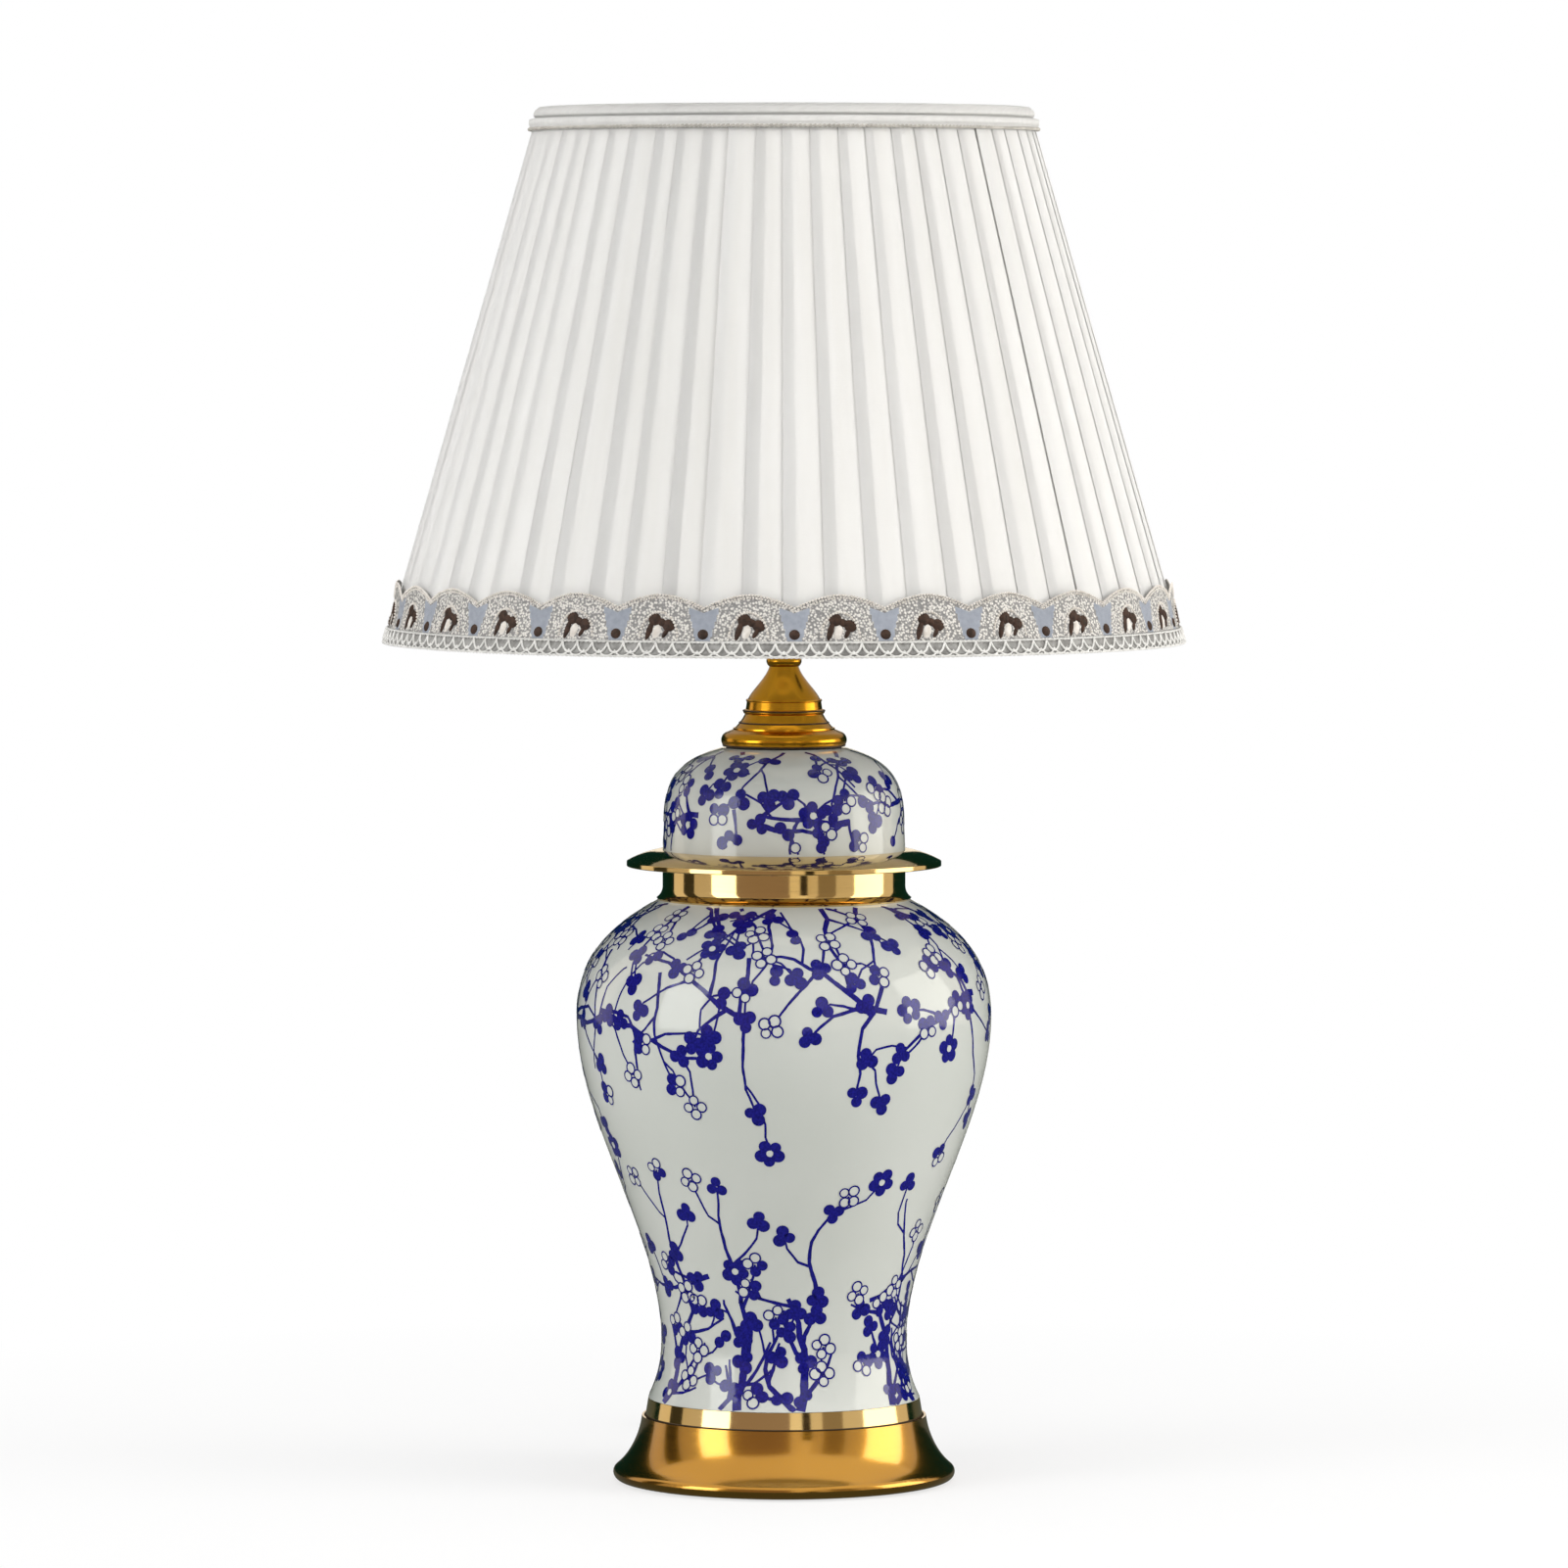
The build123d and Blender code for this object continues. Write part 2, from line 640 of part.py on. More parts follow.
cap_ring_z = cap_z + CAP_RING_H
cap_step_z = cap_z + CAP_STEP_H
cap_tier_z = cap_z + CAP_TIER_H
cap_waist_z = cap_z + CAP_WAIST_H
cap_bead_z = cap_waist_z + CAP_BEAD_H
cap_band_z = cap_bead_z + CAP_BAND_H
cap_bell_z = cap_band_z + CAP_RIDGE_H
cap_neck_z = cap_z + CAP_NECK_H
cap_bell = cap_neck_z - cap_bell_z
with BuildPart() as vase_cap:
    with BuildSketch(Plane.XZ):
        with BuildLine():
            ThreePointArc(
                (CAP_FOOT_R, cap_z),
                (CAP_R, cap_z + CAP_RING_REACH),
                (CAP_RING_R, cap_ring_z),
            )
            Polyline(
                (CAP_RING_R, cap_ring_z),
                (CAP_STEP_R, cap_step_z),
                (CAP_STEP_R, cap_tier_z),
                (CAP_TIER_R, cap_tier_z),
            )
            ThreePointArc(
                (CAP_TIER_R, cap_tier_z),
                (
                    CAP_WAIST_R + CAP_SWEEP * (CAP_TIER_R - CAP_WAIST_R),
                    cap_tier_z + CAP_SWEEP * (cap_waist_z - cap_tier_z),
                ),
                (CAP_WAIST_R, cap_waist_z),
            )
            ThreePointArc(
                (CAP_WAIST_R, cap_waist_z),
                (CAP_BEAD_R, cap_waist_z + CAP_BEAD_H / 2),
                (CAP_BAND_R, cap_bead_z),
            )
            Line((CAP_BAND_R, cap_bead_z), (CAP_BAND_TOP_R, cap_band_z))
            ThreePointArc(
                (CAP_BAND_TOP_R, cap_band_z),
                (CAP_RIDGE_R, cap_band_z + CAP_RIDGE_H / 2),
                (CAP_BELL_R, cap_bell_z),
            )
            Bezier(
                (CAP_BELL_R, cap_bell_z),
                (CAP_BELL_R - CAP_BELL_PULL, cap_bell_z + CAP_BELL_LOW * cap_bell),
                (CAP_NECK_R + CAP_BELL_PULL, cap_bell_z + CAP_BELL_HIGH * cap_bell),
                (CAP_NECK_R, cap_neck_z),
            )
            ThreePointArc(
                (CAP_NECK_R, cap_neck_z),
                (CAP_LIP_R, (cap_neck_z + socket_z) / 2),
                (CAP_LIP_TOP_R, socket_z),
            )
            Polyline(
                (CAP_LIP_TOP_R, socket_z),
                (rod_hole_r, socket_z),
                (rod_hole_r, cap_bell_z + cap_bell / 2),
                (CAP_WAIST_R - CAP_WALL, cap_waist_z),
                (CAP_FOOT_R - CAP_WALL, cap_z),
                (CAP_FOOT_R, cap_z),
            )
        make_face()
    revolve(axis=Axis.Z)

# Lamp socket

curve_z = socket_z + SOCKET_CURVE_H
cap_inner_r = SOCKET_CAP_R - SOCKET_WALL
hub_z = socket_z + SOCKET_HUB_T
with BuildPart() as socket_cap:
    with BuildSketch(Plane.XZ):
        with BuildLine():
            Line((rod_hole_r, socket_z), (SOCKET_HUB_R, socket_z))
            Bezier(
                (SOCKET_HUB_R, socket_z),
                (SOCKET_HUB_R + SOCKET_WALL, socket_z + SOCKET_CURVE_H / 2),
                (SOCKET_CAP_R, socket_z + SOCKET_CURVE_H / 2),
                (SOCKET_CAP_R, curve_z),
            )
            Polyline(
                (SOCKET_CAP_R, curve_z),
                (SOCKET_CAP_R, socket_z + SOCKET_CAP_H),
                (cap_inner_r, socket_z + SOCKET_CAP_H),
                (cap_inner_r, curve_z),
            )
            Bezier(
                (cap_inner_r, curve_z),
                (cap_inner_r, socket_z + SOCKET_CURVE_H / 2 + SOCKET_WALL),
                (SOCKET_HUB_R + SOCKET_WALL, socket_z + SOCKET_CURVE_H / 2 + SOCKET_WALL),
                (SOCKET_HUB_R - SOCKET_WALL, hub_z),
            )
            Polyline((SOCKET_HUB_R - SOCKET_WALL, hub_z), (rod_hole_r, hub_z), (rod_hole_r, socket_z))
        make_face()
    revolve(axis=Axis.Z)

shell_z = socket_z + SHELL_SEAT_H
with BuildPart() as socket_shell:
    flat_ring(shell_r - SHELL_WALL, shell_r, shell_z, SHELL_H)
    with BuildSketch(sideways(0, spindle_z)):
        Circle(SPINDLE_HOLE_R)
    extrude(amount=SOCKET_CAP_R, mode=Mode.SUBTRACT)

with BuildPart() as socket_liner:
    flat_ring(liner_r - LINER_T, liner_r, shell_z, SHELL_H)
    with BuildSketch(sideways(0, spindle_z)):
        Circle(SPINDLE_HOLE_R)
    extrude(amount=SOCKET_CAP_R, mode=Mode.SUBTRACT)

terminal_z = socket_z + TERMINAL_H
with BuildPart() as socket_interior:
    with BuildSketch(Plane.XY.offset(interior_z)):
        Circle(interior_r)
    extrude(amount=INTERIOR_H)
    with BuildSketch(Plane.XY.offset(interior_z)):
        for side in (1, -1):
            with Locations((0, side * (TERMINAL_FLAT + interior_r))):
                Rectangle(2 * interior_r, 2 * interior_r)
    extrude(amount=terminal_z + TERMINAL_HEAD_R + FIT - interior_z, mode=Mode.SUBTRACT)
    with BuildSketch(sideways(SPINDLE_IN, spindle_z)):
        Circle(SPINDLE_R + RUN)
    extrude(amount=interior_r, mode=Mode.SUBTRACT)
    with BuildSketch(across(-TERMINAL_FLAT, terminal_z)):
        Circle(TERMINAL_SHANK_R)
    extrude(amount=TERMINAL_SHANK_L, mode=Mode.SUBTRACT)
    with BuildSketch(across(TERMINAL_FLAT - TERMINAL_SHANK_L, terminal_z)):
        Circle(TERMINAL_SHANK_R)
    extrude(amount=TERMINAL_SHANK_L, mode=Mode.SUBTRACT)

with BuildPart() as terminal_screws:
    for side in (1, -1):
        facing = Plane(
            origin=(0, side * TERMINAL_FLAT, terminal_z), x_dir=(1, 0, 0), z_dir=(0, side, 0)
        )
        with BuildSketch(facing):
            Circle(TERMINAL_HEAD_R)
        extrude(amount=TERMINAL_HEAD_T)
        with BuildSketch(facing):
            Circle(TERMINAL_SHANK_R)
        extrude(amount=-TERMINAL_SHANK_L)

thread_z = bulb_z + BULB_CONTACT_T + BULB_INSULATOR_H
with BuildPart() as screw_shell:
    with BuildSketch(Plane.XZ):
        with BuildLine():
            inner_r, screw_top = knuckle_thread(
                BULB_CREST_R + SOFT_GAP, BULB_ROOT_R + SOFT_GAP, thread_z
            )
            outer_r, screw_top = knuckle_thread(
                BULB_CREST_R + SOFT_GAP + SCREW_WALL, BULB_ROOT_R + SOFT_GAP + SCREW_WALL, thread_z
            )
            Line((inner_r, screw_top), (outer_r, screw_top))
            Polyline(
                (inner_r, thread_z),
                (inner_r, interior_top),
                (outer_r, interior_top),
                (outer_r, thread_z),
            )
        make_face()
    revolve(axis=Axis.Z)

with BuildPart() as centre_contact:
    with BuildSketch(Plane.XZ):
        with Locations((0, interior_top)):
            Polygon(
                (-CONTACT_L, 0),
                (-CONTACT_L / 2, 0),
                (0, CONTACT_H - CONTACT_T),
                (CONTACT_L / 3, CONTACT_H - 2 * CONTACT_T),
                (CONTACT_L / 3, CONTACT_H - CONTACT_T),
                (0, CONTACT_H),
                (-CONTACT_L / 2, CONTACT_T),
                (-CONTACT_L, CONTACT_T),
                align=None,
            )
    extrude(amount=CONTACT_W / 2, both=True)

with BuildPart() as threaded_collar:
    flat_ring(shell_r + RUN, SCREW_COLLAR_R, collar_z, SCREW_COLLAR_H)
    flat_ring(shell_r + RUN, SCREW_COLLAR_FLANGE_R, collar_z, SCREW_COLLAR_FLANGE_T)

# Turn switch

with BuildPart() as switch_spindle:
    with BuildSketch(sideways(SPINDLE_IN + FIT, spindle_z)):
        Circle(SPINDLE_R)
    extrude(amount=KNOB_IN + KNOB_BORE_L - SPINDLE_IN - 2 * FIT)

with BuildPart() as switch_knob:
    with BuildSketch(sideways(KNOB_IN, spindle_z)):
        Circle(KNOB_R)
        with PolarLocations(KNOB_R, KNOB_FLUTES):
            Circle(KNOB_FLUTE_R, mode=Mode.SUBTRACT)
    extrude(amount=KNOB_L)
    with BuildSketch(sideways(KNOB_IN, spindle_z)):
        Circle(SPINDLE_R + RUN)
    extrude(amount=KNOB_BORE_L, mode=Mode.SUBTRACT)

# Bulb

with BuildPart() as bulb_contact:
    with BuildSketch(Plane.XY.offset(bulb_z)):
        Circle(BULB_CONTACT_R)
    extrude(amount=BULB_CONTACT_T)

insulator_z = bulb_z + BULB_CONTACT_T
bulb_thread_r = (BULB_CREST_R + BULB_ROOT_R) / 2
bulb_thread_top = thread_z + BULB_TURNS * BULB_PITCH
bulb_neck_z = bulb_thread_top + BULB_COLLAR_H
cap_bore_r = BULB_ROOT_R - BULB_CAP_WALL
with BuildPart() as bulb_insulator:
    with BuildSketch(Plane.XY.offset(insulator_z)):
        Circle(BULB_CONTACT_R)
    with BuildSketch(Plane.XY.offset(thread_z)):
        Circle(cap_bore_r)
    loft(ruled=True)

with BuildPart() as bulb_cap:
    with BuildSketch(Plane.XZ):
        with BuildLine():
            knuckle_thread(BULB_CREST_R, BULB_ROOT_R, thread_z)
            Polyline(
                (bulb_thread_r, bulb_thread_top),
                (bulb_thread_r, bulb_neck_z),
                (cap_bore_r, bulb_neck_z),
                (cap_bore_r, thread_z),
                (bulb_thread_r, thread_z),
            )
        make_face()
    revolve(axis=Axis.Z)

housing_top = bulb_neck_z + BULB_HOUSING_H
board_z = housing_top - LED_BOARD_T
board_r = BULB_R - 2 * BULB_WALL
with BuildPart() as bulb_housing:
    with BuildSketch(Plane.XZ):
        with BuildLine():
            Line((0, bulb_neck_z), (BULB_NECK_R, bulb_neck_z))
            Bezier(
                (BULB_NECK_R, bulb_neck_z),
                (BULB_NECK_R, bulb_neck_z + BULB_HOUSING_H / 2),
                (BULB_R, bulb_neck_z + BULB_HOUSING_H / 2),
                (BULB_R, housing_top),
            )
            Polyline((BULB_R, housing_top), (0, housing_top), (0, bulb_neck_z))
        make_face()
    revolve(axis=Axis.Z)
    bore(board_r + RUN, board_z, LED_BOARD_T)
    with BuildSketch(Plane.XY.offset(bulb_neck_z + BULB_WALL)):
        Circle(BULB_NECK_R - BULB_WALL)
    with BuildSketch(Plane.XY.offset(board_z)):
        Circle(BULB_NECK_R)
    loft(ruled=True, mode=Mode.SUBTRACT)

with BuildPart() as led_board:
    with BuildSketch(Plane.XY.offset(board_z)):
        Circle(board_r)
    extrude(amount=LED_BOARD_T)

belt_z = housing_top + BULB_BELT
diffuser_in_r = BULB_R - BULB_WALL
with BuildPart() as bulb_diffuser:
    with BuildSketch(Plane.XZ):
        with BuildLine():
            Line((BULB_R, housing_top), (BULB_R, belt_z))
            CenterArc((0, belt_z), BULB_R, 0, 90)
            Line((0, belt_z + BULB_R), (0, belt_z + diffuser_in_r))
            CenterArc((0, belt_z), diffuser_in_r, 0, 90)
            Polyline((diffuser_in_r, belt_z), (diffuser_in_r, housing_top), (BULB_R, housing_top))
        make_face()
    revolve(axis=Axis.Z)

# Shade frame

bottom_ring_z = shade_z + RING_INSET
top_ring_z = shade_top - RING_INSET
ring_depth = SOFT_GAP + RING_WIRE_R
rib_depth = SOFT_GAP + RIB_WIRE_R
rib_z = bottom_ring_z + RING_WIRE_R / 2
rib_top = top_ring_z - RING_WIRE_R / 2


def wire_ring(z):
    """Adds a round wire bent into a ring, just inside the cover."""
    with BuildSketch(Plane.XZ) as section:
        with Locations((inside_r(z, ring_depth), z)):
            Circle(RING_WIRE_R)
    revolve(section.sketch, axis=Axis.Z)


def straight_wire(angle, start, end, radius):
    """Adds a straight wire between two (radius, height) points at an angle about the axis."""
    turn = radians(angle)
    first = Vector(start[0] * cos(turn), start[0] * sin(turn), start[1])
    run = Vector(end[0] * cos(turn), end[0] * sin(turn), end[1]) - first
    with BuildSketch(Plane(origin=first, x_dir=(-sin(turn), cos(turn), 0), z_dir=run)) as section:
        Circle(radius)
    extrude(section.sketch, amount=run.length)


with BuildPart() as shade_bottom_ring:
    wire_ring(bottom_ring_z)

with BuildPart() as shade_top_ring:
    wire_ring(top_ring_z)

with BuildPart() as shade_fitter:
    flat_ring(SCREW_COLLAR_R + FIT, FITTER_R, fitter_z, FITTER_T)

with BuildPart() as shade_ribs:
    for rib in range(RIBS):
        straight_wire(
            RIB_ANGLE + rib * 360 / RIBS,
            (inside_r(rib_z, rib_depth), rib_z),
            (inside_r(rib_top, rib_depth), rib_top),
            RIB_WIRE_R,
        )
    add(shade_bottom_ring.part, mode=Mode.SUBTRACT)
    add(shade_top_ring.part, mode=Mode.SUBTRACT)

with BuildPart() as fitter_arms:
    for arm in range(ARMS):
        straight_wire(
            ARM_ANGLE + arm * 360 / ARMS,
            (FITTER_R - ARM_BITE, fitter_z + FITTER_T / 2),
            (inside_r(bottom_ring_z, ring_depth), bottom_ring_z),
            ARM_WIRE_R,
        )
    add(shade_bottom_ring.part, mode=Mode.SUBTRACT)
    add(shade_fitter.part, mode=Mode.SUBTRACT)

with BuildPart() as shade_ring_nut:
    with BuildSketch(Plane.XY.offset(fitter_z + FITTER_T + FIT)):
        Circle(RING_NUT_R)
        Circle(SCREW_COLLAR_R + FIT, mode=Mode.SUBTRACT)
        with PolarLocations(RING_NUT_R, RING_NUT_NOTCHES):
            Circle(RING_NUT_NOTCH_R, mode=Mode.SUBTRACT)
    extrude(amount=RING_NUT_H)

# Shade cloth and trims


def pleat_points(radius):
    """Corners of the knife pleats round a circle: each fold stands up, then slopes back."""
    step = 360 / PLEATS
    valley_r = radius * (1 - PLEAT_RISE / SHADE_BOTTOM_R)
    corners = []
    for pleat in range(PLEATS):
        fold = radians(pleat * step)
        valley = radians((pleat + 1 - PLEAT_FOLD) * step)
        corners.append((radius * cos(fold), radius * sin(fold)))
        corners.append((valley_r * cos(valley), valley_r * sin(valley)))
    return corners


def cone_band(low, high, low_gap, high_gap, thickness):
    """Adds a thin band round the outside of the cover, standing off it by a gap at each edge."""
    low_r = shade_r(low) + low_gap
    high_r = shade_r(high) + high_gap
    with BuildSketch(Plane.XZ) as section:
        Polygon(
            (low_r, low), (low_r + thickness, low), (high_r + thickness, high), (high_r, high), align=None
        )
    revolve(section.sketch, axis=Axis.Z)


with BuildPart() as pleated_cover:
    with BuildSketch(Plane.XY.offset(shade_z)):
        Polygon(*pleat_points(SHADE_BOTTOM_R), align=None)
    with BuildSketch(Plane.XY.offset(shade_top)):
        Polygon(*pleat_points(SHADE_TOP_R), align=None)
    loft(ruled=True)
    for z in (shade_z, shade_top):
        with BuildSketch(Plane.XY.offset(z)):
            RegularPolygon(inside_r(z, 0), 2 * PLEATS, major_radius=False)
    loft(ruled=True, mode=Mode.SUBTRACT)

lining_z = shade_z + LINING_INSET
lining_top = shade_top - LINING_INSET
lining_depth = rib_depth + RIB_WIRE_R + SOFT_GAP
with BuildPart() as shade_lining:
    with BuildSketch(Plane.XZ):
        Polygon(
            (inside_r(lining_z, lining_depth), lining_z),
            (inside_r(lining_z, lining_depth + LINING_T), lining_z),
            (inside_r(lining_top, lining_depth + LINING_T), lining_top),
            (inside_r(lining_top, lining_depth), lining_top),
            align=None,
        )
    revolve(axis=Axis.Z)

trim_z = shade_top - TRIM_H
trim_top = shade_top + SOFT_GAP
trim_in_depth = 2 * ring_depth + TRIM_T
trim_out_r = shade_r(shade_top) + SOFT_GAP
trim_in_r = inside_r(shade_top, 2 * ring_depth)
trim_mid_r = (trim_out_r + trim_in_r) / 2
with BuildPart() as top_trim:
    with BuildSketch(Plane.XZ):
        with BuildLine():
            Line((shade_r(trim_z) + SOFT_GAP + TRIM_T, trim_z), (trim_out_r + TRIM_T, trim_top))
            ThreePointArc(
                (trim_out_r + TRIM_T, trim_top),
                (trim_mid_r, trim_top + TRIM_CROWN),
                (trim_in_r - TRIM_T, trim_top),
            )
            Polyline(
                (trim_in_r - TRIM_T, trim_top),
                (inside_r(lining_top, trim_in_depth) - SOFT_GAP, lining_top + SOFT_GAP),
                (inside_r(lining_top, 2 * ring_depth), lining_top + SOFT_GAP),
                (trim_in_r, trim_top),
            )
            ThreePointArc(
                (trim_in_r, trim_top),
                (trim_mid_r, trim_top + TRIM_CROWN - TRIM_T),
                (trim_out_r, trim_top),
            )
            Polyline(
                (trim_out_r, trim_top),
                (shade_r(trim_z) + SOFT_GAP, trim_z),
                (shade_r(trim_z) + SOFT_GAP + TRIM_T, trim_z),
            )
        make_face()
    revolve(axis=Axis.Z)

gimp_z = shade_z - GIMP_DROP
lace_z = gimp_z + GIMP_H + SOFT_GAP
lace_top = lace_z + LACE_H
with BuildPart() as gimp_braid:
    cone_band(gimp_z, gimp_z + GIMP_H, SOFT_GAP, SOFT_GAP, GIMP_T)

with BuildPart() as lace_band:
    cone_band(lace_z, lace_top, SOFT_GAP, SOFT_GAP + LACE_FLARE, LACE_T)
    notch_z = lace_top - LACE_NOTCH_DEPTH + LACE_NOTCH_R
    with Locations((0, 0, notch_z)):
        with PolarLocations(shade_r(lace_top), LACE_REPEATS, LACE_ANGLE + 180 / LACE_REPEATS):
            Cylinder(LACE_NOTCH_R, 4 * LACE_NOTCH_R, rotation=(0, 90, 0), mode=Mode.SUBTRACT)

# Cord inside the lamp, its cores, and the cord outside

low_run_z = cover_top + cord_r + FIT
rise_bend = rod_z - low_run_z - FIT
dip_y = boot_root - 4 * CORD_D
inner_points = (
    (0, boot_tip, CORD_EXIT_Z),
    (0, dip_y, CORD_EXIT_Z),
    (0, 2 * rise_bend, low_run_z),
    (0, 0, low_run_z),
    (0, 0, rod_top),
)
inner_radii = bend_radii(inner_points[:4]) + [rise_bend]


def tube(points, radii, diameter):
    """Adds a round tube along straight runs joined by tangent arcs, and returns its length."""
    with BuildLine() as path:
        FilletPolyline(*points, radius=radii)
    route = path.wire()
    with BuildSketch(Plane(origin=route @ 0, z_dir=route % 0)) as section:
        Circle(diameter / 2)
    sweep(section.sketch, path=route)
    return route.length


with BuildPart() as inner_cord:
    tube(inner_points, inner_radii, CORD_D)

core_y = CORE_D / 2 + RUN
core_out = TERMINAL_FLAT + CORE_D / 2 + FIT
core_z = interior_z - CORE_RISE
with BuildPart() as core_wires:
    for side in (1, -1):
        core_points = (
            (0, side * core_y, rod_top),
            (0, side * core_y, core_z - FIT),
            (0, side * core_out, core_z),
            (0, side * core_out, terminal_z - TERMINAL_HEAD_R),
        )
        tube(core_points, [CORE_BEND_R] * 2, CORE_D)

lead_radii = bend_radii(LEAD_POINTS)
with BuildPart() as cord_lead:
    lead_length = tube(LEAD_POINTS, lead_radii, CORD_D)

with BuildPart() as cord_coil:
    with BuildLine() as coil_path:
        spot = Vector(*LEAD_POINTS[-1])
        end = spot + Vector(0, CORD_D, 0)
        Line(spot, end)
        heading = 1
        for half_turn in range(COIL_HALF_TURNS_IN):
            spot = end
            turn_r = COIL_R - half_turn * COIL_STEP / 2
            end = spot - Vector(2 * turn_r * heading, 0, 0)
            TangentArc(spot, end, tangent=(0, heading, 0))
            heading = -heading
        spot = end
        turn_r = turn_r - COIL_STEP / 2
        end = spot + Vector(-2 * turn_r * heading, 0, COIL_STEP)
        climb = end - spot
        crest = spot + climb / 2 + Vector(0, heading * climb.length / 2, 0)
        TangentArc(spot, crest, tangent=(0, heading, 0))
        TangentArc(crest, end, tangent=climb)
        heading = -heading
        for half_turn in range(COIL_HALF_TURNS_OUT):
            spot = end
            turn_r = turn_r + COIL_STEP / 2
            end = spot - Vector(2 * turn_r * heading, 0, 0)
            TangentArc(spot, end, tangent=(0, heading, 0))
            heading = -heading
        coil_end = end + Vector(0, heading * CORD_D, 0)
        Line(end, coil_end)
    coil_wire = coil_path.wire()
    with BuildSketch(Plane(origin=coil_wire @ 0, z_dir=coil_wire % 0)):
        Circle(cord_r)
    sweep(path=coil_wire)

plug_axis = PLUG_T / 2 + PLUG_LIFT
tail_points = (
    tuple(coil_end),
    (coil_end.X, coil_end.Y + TAIL_RUN, coil_end.Z),
    (coil_end.X + TAIL_SHIFT, coil_end.Y + 2 * TAIL_RUN, plug_axis),
    (coil_end.X + TAIL_SHIFT, coil_end.Y + 3 * TAIL_RUN, plug_axis),
)
tail_radii = bend_radii(tail_points)
with BuildPart() as cord_tail:
    tail_length = tube(tail_points, tail_radii, CORD_D)

coil_left = LEAD_POINTS[-1][0] - 2 * COIL_R
coil_hole = coil_left + COIL_STEP * COIL_HALF_TURNS_IN / 2
hole_turn_r = COIL_R - COIL_STEP * COIL_HALF_TURNS_IN / 2
tie_room = cord_r + SOFT_GAP
tie_bow = TIE_W**2 / 8 / hole_turn_r  # how far the inner turn bows across the tie
tie_low = TIE_LIFT + TIE_T
tie_high = LEAD_POINTS[-1][2] + COIL_STEP + tie_room
tie_outer_x = tie_room - coil_left
tie_inner_x = -coil_hole - tie_room - tie_bow
with BuildPart() as cord_tie:
    with BuildSketch(across(LEAD_POINTS[-1][1] + CORD_D, (tie_low + tie_high) / 2)):
        with Locations(((tie_outer_x + tie_inner_x) / 2, 0)):
            RectangleRounded(
                tie_outer_x - tie_inner_x + 2 * TIE_T, tie_high - tie_low + 2 * TIE_T, 2 * TIE_T
            )
            RectangleRounded(tie_outer_x - tie_inner_x, tie_high - tie_low, TIE_T, mode=Mode.SUBTRACT)
    extrude(amount=TIE_W / 2, both=True)

plug_x = tail_points[-1][0]
plug_y = tail_points[-1][1]
body_y = plug_y + PLUG_BOOT_L
blade_y = body_y + PLUG_L - BLADE_SET


def at_plug(y):
    """Plane square to the plug's axis."""
    return Plane(origin=(plug_x, y, plug_axis), x_dir=(1, 0, 0), z_dir=(0, 1, 0))


with BuildPart() as plug_body:
    with BuildSketch(at_plug(body_y)):
        RectangleRounded(PLUG_W, PLUG_T, PLUG_ROUND)
    extrude(amount=PLUG_L)
    fillet(plug_body.faces().sort_by(Axis.Y)[0].edges(), PLUG_ROUND / 2)
    with BuildSketch(at_plug(plug_y)):
        Circle(cord_r + BOOT_SKIN)
    with BuildSketch(at_plug(body_y + PLUG_ROUND)):
        Circle(PLUG_BOOT_R)
    loft(ruled=True)
    with BuildSketch(at_plug(blade_y)):
        with GridLocations(BLADE_GAP, 0, 2, 1):
            Rectangle(BLADE_T, BLADE_W)
    extrude(amount=BLADE_SET, mode=Mode.SUBTRACT)

with BuildPart() as plug_blades:
    with BuildSketch(at_plug(blade_y)):
        with GridLocations(BLADE_GAP, 0, 2, 1):
            Rectangle(BLADE_T, BLADE_W)
    extrude(amount=BLADE_SET + BLADE_L)
    hole_y = body_y + PLUG_L + BLADE_L - 2 * BLADE_HOLE_R
    with BuildSketch(Plane(origin=(plug_x, hole_y, plug_axis), x_dir=(0, 1, 0), z_dir=(1, 0, 0))):
        Circle(BLADE_HOLE_R)
    extrude(amount=BLADE_GAP, both=True, mode=Mode.SUBTRACT)

# Cord facts

GAP_STEPS = 1400
coil_points = [coil_wire @ (step / GAP_STEPS) for step in range(GAP_STEPS + 1)]
apart = int(2 * CORD_D * GAP_STEPS / coil_wire.length)
nearest = min(
    (coil_points[first] - coil_points[second]).length
    for first in range(GAP_STEPS + 1)
    for second in range(first + apart, GAP_STEPS + 1)
)
print(f"coil's least gap to itself: {nearest - CORD_D:.2f} mm")
print(f"cord outside the lamp: {lead_length + coil_wire.length + tail_length:.0f} mm")
for label, radii in (("lead", lead_radii), ("tail", tail_radii), ("inside", inner_radii)):
    print(f"{label} bend radii:", ", ".join(f"{radius:.0f}" for radius in radii), "mm")

# One STEP file for each piece

